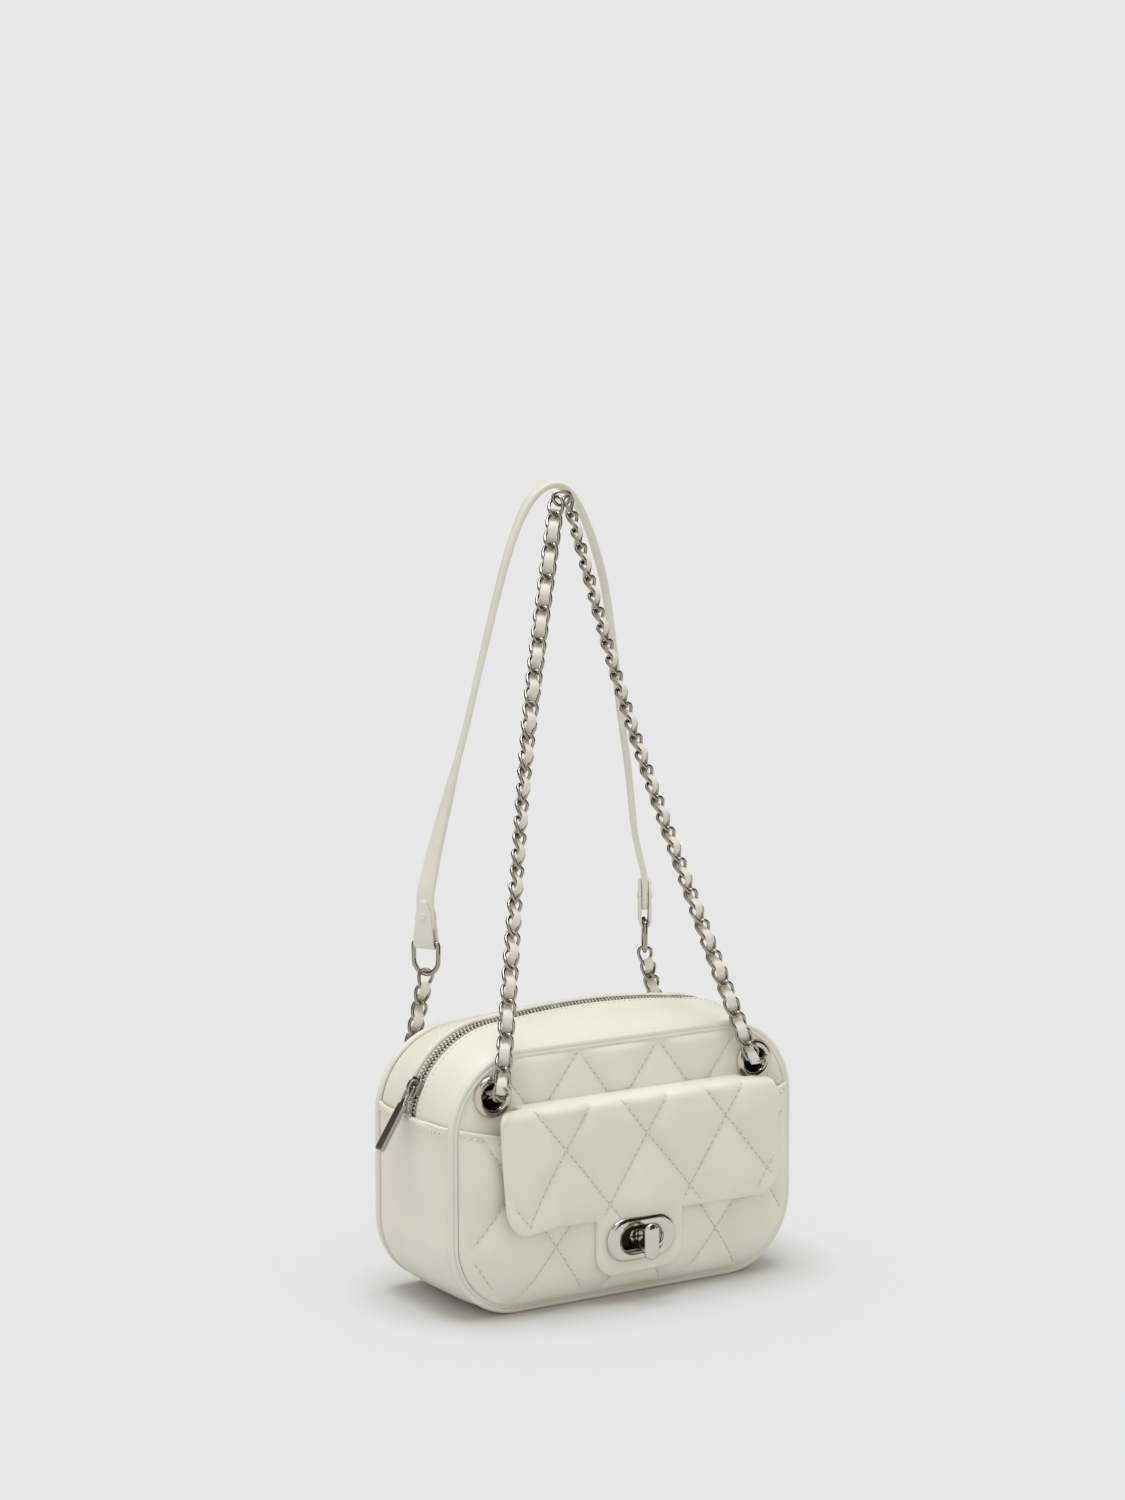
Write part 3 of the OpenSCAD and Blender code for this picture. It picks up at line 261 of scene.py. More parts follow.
def cloth(name, base, scale):
    """Woven cloth: two crossed wave patterns raise the yarns."""
    material, tree, shader, coords = textured(name, Roughness=0.85)
    waves = [add(tree, "ShaderNodeTexWave", {"Vector": coords}, Scale=scale, bands_direction=d).outputs["Fac"]
             for d in ("X", "Z")]
    weave = add(tree, "ShaderNodeMath", dict(enumerate(waves)), operation="ADD")
    tint(tree, shader, waves[0], base, 0.86)
    tree.links.new(bump(tree, weave.outputs["Value"], 0.5, 0.0002), shader.inputs["Normal"])
    return material


def plated(name, base, roughness=0.1):
    """Polished plating with faint smears."""
    material, tree, shader, coords = textured(name, Metallic=1.0)
    smears = noise(tree, coords, 140.0)
    gloss(tree, shader, smears, roughness * 0.6, roughness * 1.7)
    tint(tree, shader, smears, base, 0.94)
    return material


def repaint(material, *nodes):
    """Gives solids that stay as they are a material."""
    for node in nodes:
        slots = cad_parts[node].data.materials
        slots.clear()
        slots.append(material)


IVORY = srgb(230, 230, 217)
LEATHER = leather("leather_ivory", IVORY)
LEATHER_EDGE = leather("leather_piping", srgb(229, 229, 219), 0.4)
LEATHER_STRAP = leather("leather_strap", srgb(228, 228, 218), 0.5)
LEATHER_LACE = leather("leather_lace", srgb(227, 226, 216), 0.55, 0.3)
THREAD = thread("thread_ivory", srgb(236, 235, 225))
# Darker leather for the needle holes: painted shade of the holes.
NEEDLE_HOLE_SHADE = leather("leather_needle_hole_shade", srgb(192, 187, 172), 0.8)
TAPE = cloth("zip_tape_cloth", srgb(224, 222, 208), 700.0)
LINING = cloth("lining_cloth", srgb(150, 144, 130), 500.0)
BOARD = leather("board_grey", srgb(176, 172, 160), 0.7)
CHROME = plated("plating_chain", srgb(176, 169, 156), 0.06)
CHROME_LOCK = plated("plating_lock", srgb(222, 216, 204), 0.14)
CHROME_EYELET = plated("plating_eyelet", srgb(214, 207, 192), 0.1)
CHROME_ZIP = plated("plating_zip", srgb(226, 223, 214), 0.36)
CHROME_PULL = plated("plating_pull", srgb(186, 180, 168), 0.3)
# Near-black plating on the lock base, the screw's cross slot, the backings and the eyelet washers: painted shade of
# the hollows they sit in.
CHROME_PAINTED_SHADE = plated("plating_painted_shade", srgb(66, 57, 48), 0.3)
# Dark brown plating inside the eyelets: painted shade and painted dark reflection in the barrel.
CHROME_BARREL_PAINTED_SHADE = plated("plating_barrel_painted_shade", srgb(92, 76, 64), 0.22)


# Mesh building

def turn_outward(mesh, weld=False):
    """Turns the faces outward, with points that coincide made one first if asked."""
    work = bmesh.new()
    work.from_mesh(mesh)
    if weld:
        bmesh.ops.remove_doubles(work, verts=work.verts, dist=0.01 * MM)
    bmesh.ops.recalc_face_normals(work, faces=work.faces)
    work.to_mesh(mesh)
    work.free()


def piece(name, points, faces, material, body, slot, replaced=(), closed=True, flat=False):
    """One piece from points in millimetres; its faces are turned outward when it is closed."""
    mesh = bpy.data.meshes.new(name)
    mesh.from_pydata((np.asarray(points) * MM + MIDDLE).tolist(), [], [list(map(int, f)) for f in faces])
    mesh.validate()
    if closed:
        turn_outward(mesh)
    mesh.polygons.foreach_set("use_smooth", [not flat] * len(mesh.polygons))
    mesh.materials.append(material)
    obj = bpy.data.objects.new(name, mesh)
    bpy.context.scene.collection.objects.link(obj)
    if body:
        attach(obj, body)
    if replaced:
        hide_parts(*replaced)
    return obj


def join(parts):
    """Points and faces of several meshes as one."""
    points, faces, count = [], [], 0
    for p, f in parts:
        points.append(np.asarray(p, float))
        faces.extend([[i + count for i in face] for face in f])
        count += len(p)
    return np.concatenate(points), faces


def grid_faces(ni, nj, wrap_i=False, wrap_j=False):
    return [[i * nj + j, i * nj + (j + 1) % nj, (i + 1) % ni * nj + (j + 1) % nj, (i + 1) % ni * nj + j]
            for i in range(ni if wrap_i else ni - 1) for j in range(nj if wrap_j else nj - 1)]


def normals(base):
    return unit(np.cross(np.gradient(base, axis=0), np.gradient(base, axis=1)))


def shell(base, rise, thickness):
    """Closed sheet on a grid of points, raised outward and as thick as stated below them."""
    normal = normals(base)
    ni, nj = base.shape[:2]
    n = ni * nj
    faces = grid_faces(ni, nj)
    faces += [[n + i for i in f[::-1]] for f in faces]
    rim = [i * nj for i in range(ni)] + [(ni - 1) * nj + j for j in range(1, nj)]
    rim += [i * nj + nj - 1 for i in range(ni - 2, -1, -1)] + list(range(nj - 2, 0, -1))
    faces += [[a, b, n + b, n + a] for a, b in zip(rim, rim[1:] + rim[:1])]
    outer, inner = base + normal * rise[..., None], base - normal * thickness
    return np.concatenate([outer.reshape(-1, 3), inner.reshape(-1, 3)]), faces


def sweep(centres, sides, ups, profile, closed=False):
    """Mesh of a profile carried along a row of frames; profile is one ring or one per frame."""
    centres, profile = np.asarray(centres, float), np.asarray(profile, float)
    sides, ups = (np.broadcast_to(np.asarray(a, float), centres.shape)[:, None] for a in (sides, ups))
    points = centres[:, None] + sides * profile[..., :1] + ups * profile[..., 1:]
    ni, nj = points.shape[:2]
    faces = grid_faces(ni, nj, closed, True)
    if not closed:
        faces += [list(range(nj - 1, -1, -1)), [(ni - 1) * nj + j for j in range(nj)]]
    return points.reshape(-1, 3), faces


def circle(r, n):
    a = np.linspace(0, 2 * pi, n, endpoint=False)
    return np.stack([r * np.cos(a), r * np.sin(a)], 1)


def rounded_bar(w, h, r, n=3):
    """Rounded rectangle as a ring of points."""
    return np.concatenate([arc(x * (w / 2 - r), y * (h / 2 - r), r, a, a + 90, n)
                           for x, y, a in ((1, 1, 0), (-1, 1, 90), (-1, -1, 180), (1, -1, 270))])


def tube(path, r, n=10, hint=Y):
    """Closed loop of round wire along points."""
    run = unit(np.roll(path, -1, 0) - np.roll(path, 1, 0))
    side = square_to(hint, run)
    return sweep(path, side, np.cross(run, side), circle(r, n), True)


def scatter(template, places):
    """Copies of one small mesh: each place is a centre with its local X, Y and Z axes."""
    points, faces = template
    places = np.asarray(places, float)
    copies = places[:, :1] + points @ places[:, 1:]
    n = len(points)
    return copies.reshape(-1, 3), [[i + k * n for i in f] for k in range(len(places)) for f in faces]


def turned(place, angle, axis):
    """Frame at a place, turned by an angle in degrees about an axis."""
    return Matrix.Translation(place) @ Matrix.Rotation(radians(angle), 4, axis)


def moved(mesh, matrix):
    points, faces = mesh
    m = np.array(matrix)
    return points @ m[:3, :3].T + m[:3, 3], faces


def lathe(profile, n=48):
    """Closed ring profile of (radius, height) turned about local Z."""
    r, h = np.asarray(profile, float).T
    c, s = circle(1, n).T[..., None]
    return xyz(c * r, s * r, h).reshape(-1, 3), grid_faces(n, len(r), True, True)


# Flat patterns: a padded sheet is cut to an outline and then lifted into place

def inside(p, loop):
    a, b = loop, np.roll(loop, -1, 0)
    x, z = p[:, :1], p[:, 1:]
    crosses = (a[:, 1] > z) != (b[:, 1] > z)
    slope = (b[:, 0] - a[:, 0]) / np.where(b[:, 1] == a[:, 1], 1e-12, b[:, 1] - a[:, 1])
    return (np.sum(crosses & (x < a[:, 0] + (z - a[:, 1]) * slope), 1) % 2).astype(bool)


def edge_distance(p, loops):
    best = np.full(len(p), 1e9)
    for loop in loops:
        a, ab = loop, np.roll(loop, -1, 0) - loop
        length = np.maximum((ab ** 2).sum(1), 1e-12)
        for k in range(0, len(p), 4000):
            q = p[k:k + 4000, None] - a[None]
            t = np.clip((q * ab).sum(2) / length, 0, 1)
            gap = np.sqrt(((q - t[..., None] * ab) ** 2).sum(2)).min(1)
            best[k:k + 4000] = np.minimum(best[k:k + 4000], gap)
    return best


def within(p, loops):
    found = inside(p, loops[0])
    for hole in loops[1:]:
        found &= ~inside(p, hole)
    return found


def inset(loop, d):
    """Outline moved inward by d, its corners mitred."""
    along = unit(np.roll(loop, -1, 0) - loop)
    normal = np.stack([-along[:, 1], along[:, 0]], 1)
    before = np.roll(normal, 1, 0)
    mitre = (normal + before) / (1 + (normal * before).sum(1))[:, None]
    return loop + mitre * d


def thin(loop, gap):
    """The same outline without points closer than gap."""
    kept = [loop[0]]
    for p in loop[1:]:
        if np.linalg.norm(p - kept[-1]) > gap:
            kept.append(p)
    if np.linalg.norm(kept[-1] - kept[0]) <= gap:
        kept.pop()
    return np.array(kept)


def densify(loop, step):
    """Adds points so that no side of the outline is longer than step."""
    points = []
    for a, b in zip(loop, np.roll(loop, -1, 0)):
        n = max(1, ceil(np.linalg.norm(b - a) / step))
        points.extend(a + (b - a) * k / n for k in range(n))
    return np.array(points)


def oriented(loop, turn):
    area = np.sum(loop[:, 0] * np.roll(loop[:, 1], -1) - np.roll(loop[:, 0], -1) * loop[:, 1])
    return loop if area * turn > 0 else loop[::-1]


def outline_edges(loops):
    """Points of some outlines, and the edges that close each of them."""
    points, edges = [], []
    for loop in loops:
        n = len(loop)
        edges += [(len(points) + i, len(points) + (i + 1) % n) for i in range(n)]
        points.extend(map(tuple, loop))
    return points, edges


def triangulate(points, edges, loops):
    """Triangles that keep the edges and lie within the outlines."""
    found = delaunay_2d_cdt([Vector(p) for p in points], edges, [], 0, 1e-5)
    p = np.array([tuple(v) for v in found[0]])
    triangles = np.array([f for f in found[2] if len(f) == 3])
    return p, triangles[within(p[triangles].mean(1), loops)]


class Sheet:
    """A leather sheet: an outline with holes, a thickness, a padded face and a way into space."""

    def __init__(self, outline, lift, thickness, edge_r, puff, holes=(), step=1.5, quilt=None):
        self.loops = [oriented(densify(thin(loop, THIN), step), turn)
                      for loop, turn in [(outline, 1), *((hole, -1) for hole in holes)]]
        self.lift, self.thickness, self.edge_r, self.puff, self.step = lift, thickness, edge_r, puff, step
        self.quilt = quilt

    def half(self, d):
        """Half the thickness, rounded off toward the edge."""
        return self.thickness / 2 * np.sqrt(1 - (1 - np.minimum(d, self.edge_r) / self.edge_r) ** 2)

    def height(self, p, d):
        """Height of the padded face over the sheet's middle."""
        return self.half(d) + self.puff(p[:, 0], p[:, 1], d)

    def mesh(self):
        rings = [0.08, 0.3, 0.65, 1.0, 1.6]
        points, edges = outline_edges(self.loops)
        flat = [inset(loop, r * self.edge_r) for loop in self.loops for r in rings]
        near = np.concatenate(flat)
        wanted = np.concatenate([np.full(len(f), r) for f, r in zip(flat, rings * len(self.loops))])
        keep = within(near, self.loops) & (edge_distance(near, self.loops) > wanted * self.edge_r - 0.02)
        points.extend(map(tuple, near[keep]))
        low, high = self.loops[0].min(0), self.loops[0].max(0)
        row = np.arange(low[0], high[0], self.step)
        grid = np.concatenate([np.stack([row + (k % 2) * self.step / 2, 0 * row + z], 1)
                               for k, z in enumerate(np.arange(low[1], high[1], self.step * sqrt(3) / 2))])
        if self.quilt:
            grid = grid[self.quilt.gap_at(grid[:, 0], grid[:, 1]) > 0.6]
            grid = np.concatenate([grid, self.quilt.rows(fine=3)[0]])
        grid = grid[within(grid, self.loops)]
        grid = grid[edge_distance(grid, self.loops) > rings[-1] * self.edge_r + self.step * 0.4]
        points.extend(map(tuple, grid))
        p, triangles = triangulate(points, edges, self.loops)
        d = edge_distance(p, self.loops)
        rim = d < 1e-3
        outer = self.lift(p[:, 0], p[:, 1], self.height(p, np.where(rim, 0, d)))
        inner = self.lift(p[:, 0], p[:, 1], -self.half(d))
        n = len(p)
        other = np.where(rim, np.arange(n), np.arange(n) + n)
        faces = triangles.tolist() + other[triangles][:, ::-1].tolist()
        used = np.zeros(2 * n, bool)
        used[np.unique(np.array(faces))] = True
        index = np.cumsum(used) - 1
        return np.concatenate([outer, inner])[used], index[np.array(faces)].tolist()

    def stitches(self, p, run, margin=0.0):
        """Places for stitches at flat points p that run along flat directions."""
        d = edge_distance(p, self.loops)
        keep = within(p, self.loops) & (d > margin)
        p, run, d = p[keep], run[keep], d[keep]
        if not len(p):
            return []
        h, tiny = self.height(p, d) + STITCH_LIFT, 0.2
        centre, ahead, above = (self.lift(p[:, 0] + a * run[:, 0], p[:, 1] + a * run[:, 1], h + b)
                                for a, b in ((0, 0), (tiny, 0), (0, tiny)))
        return stitch_places(centre, ahead - centre, above - centre)


def stitch_places(centre, ahead, above):
    x = unit(ahead)
    z = square_to(above, x)
    return list(np.stack([centre, x, np.cross(z, x), z], 1))


STITCH_PITCH, STITCH_LIFT = 4.0, 0.08


def stitch_template(length=3.1, r=0.38, n=6):
    """One stitch: a short thread that arches out of the leather and dips at both ends."""
    t = np.linspace(-1, 1, 7)
    radius = r * np.sqrt(np.maximum(0.05, 1 - t ** 4))
    return sweep(xyz(t * length / 2, 0, 0.26 * (1 - t * t) - STITCH_LIFT), Y, Z,
                 circle(1.0, n)[None] * radius[:, None, None])


def hole_template(pitch, r=0.36, n=8):
    """The needle hole between two stitches: a small pit with a puckered rim, darkened with painted shade."""
    rings = [(0.35 * r, -0.2), (r, 0.0), (r, 0.05), (0.6 * r, 0.07), (0.3 * r, 0.0)]
    points, faces = lathe(rings, n)
    return points + (pitch / 2, 0, 0), faces


def sew(name, places, body, slot, pitch=STITCH_PITCH):
    """A run of stitches with its needle holes."""
    points, faces = stitch_template()
    # The needle holes' darker colour is painted shade.
    piece(f"{name}_holes", *scatter(hole_template(pitch), places), NEEDLE_HOLE_SHADE, body, slot)
    piece(name, *scatter((points * (pitch / STITCH_PITCH, 1, 1), faces), places), THREAD, body, slot)


class Quilt:
    """Two families of crossing stitch lines that divide a sheet into padded diamonds."""

    def __init__(self, x, z, turn, depth, soft=6.0):
        self.x, self.z, self.turn, self.depth, self.soft = x, z, radians(turn), depth, soft
        self.run = hypot(QUILT_W, QUILT_H) / 2
        self.gap = QUILT_W * QUILT_H / hypot(QUILT_W, QUILT_H)

    def seams(self, x, z):
        """Distance to the nearest seam of each family, with the place along it."""
        c, s = cos(self.turn), sin(self.turn)
        dx, dz = x - self.x, z - self.z
        across, up = dx * c + dz * s, -dx * s + dz * c
        a, b = across / QUILT_W + up / QUILT_H, across / QUILT_W - up / QUILT_H
        return [(np.abs(u - np.round(u)) * self.gap, v * self.run) for u, v in ((a, b), (b, a))]

    def gap_at(self, x, z):
        return np.minimum(*(d for d, along in self.seams(x, z)))

    def height(self, x, z):
        rise, ripple = 1.0, 0.0
        for d, along in self.seams(x, z):
            rise = rise * (1 - np.exp(-d / self.soft))
            ripple = ripple - 0.13 * np.exp(-d / 1.6) * np.cos(2 * pi * (along / STITCH_PITCH - 0.5))
        return self.depth * rise + ripple

    def rows(self, reach=5, fine=1):
        """Flat points and directions of every stitch, or of points between them as well."""
        c, s = cos(self.turn), sin(self.turn)
        step = STITCH_PITCH / self.run
        t = np.arange(-ceil(reach / step), ceil(reach / step), 1 / fine) * step
        points, runs = [], []
        for lean in (1, -1):
            for k in range(-reach, reach + 1):
                a, b = (k + 0 * t, t) if lean > 0 else (t, k + 0 * t)
                across, up = QUILT_W * (a + b) / 2, QUILT_H * (a - b) / 2
                points.append(np.stack([self.x + across * c - up * s, self.z + across * s + up * c], 1))
                run = unit([QUILT_W, -lean * QUILT_H])
                runs.append(np.repeat([[run[0] * c - run[1] * s, run[0] * s + run[1] * c]], len(t), 0))
        return np.concatenate(points), np.concatenate(runs)


# Outlines

def body_outline(cut, n=16):
    """Rounded outline of the body's face, counter-clockwise, moved in by cut."""
    w, rt, rb = LINE_W, LINE_TOP_R, LINE_BOTTOM_R
    return np.concatenate([
        arc(-w + rb, LINE_LOW + rb, rb - cut, 180, 270, n), arc(w - rb, LINE_LOW + rb, rb - cut, 270, 360, n),
        arc(w - rt, LINE_HIGH - rt, rt - cut, 0, 90, n), arc(-w + rt, LINE_HIGH - rt, rt - cut, 90, 180, n)])


def half_width(z):
    w, rt, rb = LINE_W - PANEL_INSET, LINE_TOP_R - PANEL_INSET, LINE_BOTTOM_R - PANEL_INSET
    low = np.maximum(0, LINE_LOW + LINE_BOTTOM_R - z)
    high = np.maximum(0, z - LINE_HIGH + LINE_TOP_R)
    return (w - rb + np.sqrt(np.maximum(0, rb * rb - low ** 2))) * (low > 0) + \
        (w - rt + np.sqrt(np.maximum(0, rt * rt - high ** 2))) * (low <= 0)


def obround(w, h, z, n=16):
    r = h / 2
    return np.concatenate([arc(w / 2 - r, z, r, -90, 90, n), arc(-w / 2 + r, z, r, 90, 270, n)])


def circle_loop(x, z, r, n=40):
    return arc(x, z, r, 0, 360 - 360 / n, n - 1)


# Front and back panels

def padded_piece(name, sheet, body, replaced):
    """A padded sheet of quilted leather."""
    obj = piece(name, *sheet.mesh(), LEATHER, body, "quilted_leather", replaced)
    return obj


def build_panels():
    quilt = Quilt(-4.5, 104.3, 0.0, 3.4, 5.0)
    hole_r, seat_r, welt_gap, edge_fall = 7.85, 17, 1.1, 2.2
    for name, side in SIDES.items():
        def lift(x, z, o, side=side):
            return xyz(x, side * (BODY_D / 2 + o), z)

        def puff(x, z, d, side=side):
            eyelet = np.minimum(*(np.hypot(x - s * EYELET_X, z - EYELET_Z) for s in (RIGHT, LEFT)))
            seat = 1 - 0.75 * np.exp(-eyelet ** 2 / seat_r ** 2)
            edge = 1 - np.exp(-np.maximum(d - welt_gap, 0) / edge_fall)
            return (quilt.height(x, z) * seat + 0.45 * wobble(x, z, side)) * edge

        holes = [circle_loop(s * EYELET_X, EYELET_Z, hole_r) for s in (LEFT, RIGHT)]
        sheet = Sheet(body_outline(PANEL_INSET), lift, PANEL_T, 1.4, puff, holes, quilt=quilt)
        padded_piece(f"{name}_panel_quilted", sheet, "root", [f"{name}_panel"])
        sew(f"{name}_panel_stitches", sheet.stitches(*quilt.rows(), margin=4.5), "root", "quilted_leather")


# Pocket

def pocket_rise(u, v):
    low = 1 - np.maximum(0, -v) ** 6
    high = 1 - 0.45 * np.maximum(0, v) ** 2
    return (1 - np.abs(np.clip(u, -1, 1)) ** 6) * np.where(v < 0, low, high)


def pocket_lift(x, z, o):
    v = (z - POCKET_MID) / (POCKET_MID - POCKET_LOW)
    rise = pocket_rise(x / half_width(z), v)
    return xyz(x, -(POCKET_BACK + POCKET_T / 2 + (POCKET_BULGE - POCKET_T) * rise + o), z)


def mouth_z(x):
    u = x / (LINE_W - PANEL_INSET)
    return MOUTH_Z - MOUTH_DIP * (1 - u * u)


def build_pocket():
    quilt = Quilt(1.5, 33.5, -2.5, 3.0, 5.0)
    outline = body_outline(PANEL_INSET + POCKET_IN)
    low = outline[outline[:, 1] < MOUTH_Z - 0.3]
    low = low[np.argsort(np.arctan2(low[:, 1] - BODY_H, low[:, 0]))]
    x = np.linspace(1, -1, 60) * (half_width(MOUTH_Z) - POCKET_IN)
    mouth_pitch, mouth_in, roll_in, edge_fall = 3.2, 3.1, 0.9, 4.0

    def puff(x, z, d):
        seat = smooth(np.hypot(x / 17, (z - LOCK_Z) / 11), 0.8, 1.5)
        return (quilt.height(x, z) * seat + 0.35 * wobble(x, z, 2.0)) * (1 - np.exp(-d / edge_fall))

    sheet = Sheet(np.concatenate([low, np.stack([x, mouth_z(x)], 1)]), pocket_lift, POCKET_T, 0.9, puff,
                  quilt=quilt)
    padded_piece("front_pocket_quilted", sheet, "root", ["front_pocket_panel"])
    sew("front_pocket_stitches", sheet.stitches(*quilt.rows(), margin=5.5), "root", "quilted_leather")
    top = LINE_W - PANEL_INSET
    x = np.arange(-top + 3, top - 2, mouth_pitch)
    row = np.stack([x, mouth_z(x) - mouth_in], 1)
    sew("front_pocket_mouth_stitches", sheet.stitches(row, directions(row)), "root", "quilted_leather",
        mouth_pitch)
    x = np.linspace(-top + 1.2, top - 1.2, 120)
    edge = pocket_lift(x, mouth_z(x) - roll_in, 0.35)
    run = directions(edge)
    up = square_to(Z, run)
    piece("front_pocket_edge", *sweep(edge, np.cross(run, up), up, rounded_bar(2.5, 2.6, 1.2, 4)), LEATHER,
          "root", "quilted_leather")


# Flap

FLAP_STRIP, FLAP_STRIP_X = 9.2, 72.0
FLAP_LEFT, FLAP_RIGHT = (-87.0, -84.8), 91.6
FLAP_CORNERS = (17.0, 14.0, 8.0, 14.0, 12.0)
FLAP_BEND_L = FLAP_BEND_R * pi / 2


def flap_outline():
    """The flap as it hangs: its soft sides draw in a little and each corner has its own radius."""
    fold = FLAP_AXIS_Z + FLAP_BEND_L
    t, top = TAB_W / 2, fold + FLAP_STRIP
    (x0, x1), right, strip = FLAP_LEFT, FLAP_RIGHT, FLAP_STRIP_X
    low_l, low_r, top_l, top_r, tab = FLAP_CORNERS
    return np.concatenate([
        [(strip, top), (-strip, top), (-strip, fold + 1.0)], arc(x0 + top_l, fold - top_l, top_l, 90, 180, 8),
        arc(x1 + low_l, FLAP_LOW + low_l, low_l, 180, 270, 14), [(-t, FLAP_LOW)],
        arc(-t + tab, TAB_LOW + tab, tab, 180, 270, 10), arc(t - tab, TAB_LOW + tab, tab, 270, 360, 10),
        [(t, FLAP_LOW)], arc(right - low_r, FLAP_LOW + low_r, low_r, 270, 360, 12),
        arc(right - top_r, fold - top_r, top_r, 0, 90, 12), [(strip, fold + 1.0)]])


def flap_lift(x, s, o):
    """Down the front, round the roll at the top and back to the panel."""
    turn = np.clip((s - FLAP_AXIS_Z) / FLAP_BEND_R, 0, pi / 2)
    beyond = np.maximum(0, s - FLAP_AXIS_Z - FLAP_BEND_L)
    below = np.minimum(s, FLAP_AXIS_Z) - FLAP_AXIS_Z
    low = smooth(FLAP_AXIS_Z - s, 12, FLAP_AXIS_Z - FLAP_LOW)
    curl = low * (2.2 * smooth(-x, 48, 86) + 1.0 * smooth(x, 55, 92) + 0.5 * np.sin(x / 17.0 + 0.6))
    y = FLAP_AXIS_Y + (FLAP_BEND_R + o) * np.cos(turn) - beyond + curl * (s > TAB_LOW)
    droop = low * (0.5 * np.sin(x / 13.0) - 2.4 * smooth(-x, 45, 80))
    return xyz(x, -y, FLAP_AXIS_Z + (FLAP_BEND_R + o) * np.sin(turn) + below + droop)


def build_flap():
    quilt = Quilt(4.6, 92.3, 3.4, 4.0, 6.0)

    def puff(x, z, d):
        tab = smooth(z, FLAP_LOW - 6, FLAP_LOW + 4)
        back = 1 - smooth(z, FLAP_AXIS_Z + 1, FLAP_AXIS_Z + 6)
        return ((quilt.height(x, z) * back - 0.7) + 0.3 * wobble(x, z, 3.0)) * tab * (1 - np.exp(-d / 4.5))

    hole = obround(LOCK_OPEN_W, LOCK_OPEN_H, LOCK_Z)
    sheet = Sheet(flap_outline(), flap_lift, FLAP_T, 2.5, puff, [hole], quilt=quilt)
    flap = padded_piece("pocket_flap_quilted", sheet, None, ["pocket_flap", "flap_hinge_strip"])
    points, runs = quilt.rows()
    keep = (points[:, 1] > FLAP_LOW - 1) & (points[:, 1] < FLAP_AXIS_Z + 3)
    sew("pocket_flap_stitches", sheet.stitches(points[keep], runs[keep], margin=4.5), "flap",
        "quilted_leather")
    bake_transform(flap)


# Gussets: each point lies between the edge line beside a panel and the ridge at mid depth

SEAM_TURN, RIDGE_SEAM_TURN = (degrees(asin((SEAM_Z - RIDGE_Z) / r)) for r in (LINE_TOP_R, RIDGE_R))


def top_lines(n_arc=26, n_top=46):
    u = np.linspace(-1, 1, n_top + 1)[1:-1]

    def line(x, r, turn, top):
        return np.concatenate([arc(-x, RIDGE_Z, r, 180 - turn, 90, n_arc), np.stack([x * u, top], 1),
                               arc(x, RIDGE_Z, r, 90, turn, n_arc)])

    return (line(LINE_W - LINE_TOP_R, LINE_TOP_R, SEAM_TURN, 0 * u + LINE_HIGH),
            line(RIDGE_X, RIDGE_R, RIDGE_SEAM_TURN, RIDGE_Z + RIDGE_R + RIDGE_RISE * (1 - u * u)))


def low_lines(n_arc=22, n_low=40, n_side=14):
    u = np.linspace(1, 0, n_side + 1)[1:-1, None]
    v = np.linspace(1, -1, n_low + 1)[1:-1]

    def half(s, x, r, turn, w, low, bend_r):
        side = arc(s * x, RIDGE_Z, r, 90 - s * (90 - turn), 90 - s * 90, 3)
        bend = arc(s * (w - bend_r), low + bend_r, bend_r, 90 - s * 90, 90 - s * 180, n_arc)
        return np.concatenate([side, side[-1] * u + bend[0] * (1 - u), bend])

    lines = []
    for shape in ((LINE_W - LINE_TOP_R, LINE_TOP_R, SEAM_TURN, LINE_W, LINE_LOW, LINE_BOTTOM_R),
                  (RIDGE_X, RIDGE_R, RIDGE_SEAM_TURN, BODY_W / 2 + SIDE_CROWN, 0, LINE_BOTTOM_R + LINE_LOW)):
        right, left = half(RIGHT, *shape), half(LEFT, *shape)[::-1]
        (x0, z0), x1 = right[-1], left[0][0]
        lines.append(np.concatenate([right, np.stack([x0 + (x1 - x0) * (1 - v) / 2, 0 * v + z0], 1), left]))
    return lines


def between(edge, ridge, depths, power):
    f = 1 - np.abs(depths / EDGE_Y) ** power
    p = edge[:, None] + (ridge - edge)[:, None] * f[None, :, None]
    return xyz(p[..., 0], depths, p[..., 1])


def facing(across, side):
    """Depths on one side of the middle, in the order that turns the faces outward."""
    return -across if side == FRONT else across[::-1]


def lengths(line):
    return np.concatenate([[0], np.cumsum(np.linalg.norm(np.diff(line, axis=0), axis=1))])


def sample(at, s, rows):
    return np.stack([np.interp(at, s, rows[:, k]) for k in range(rows.shape[1])], 1)


def grid_places(base, rise, j, pitch):
    """Stitch places along row j of a grid."""
    normal = normals(base)[:, j]
    return row_places(base[:, j] + normal * rise[:, j][:, None], normal, pitch)


def row_places(line, normal, pitch):
    """Stitch places at even steps along a line of points with normals."""
    s = lengths(line)
    at = np.arange(pitch / 2, s[-1], pitch)
    return stitch_places(sample(at, s, line), sample(at + 0.3, s, line) - sample(at - 0.3, s, line),
                         sample(at, s, normal))


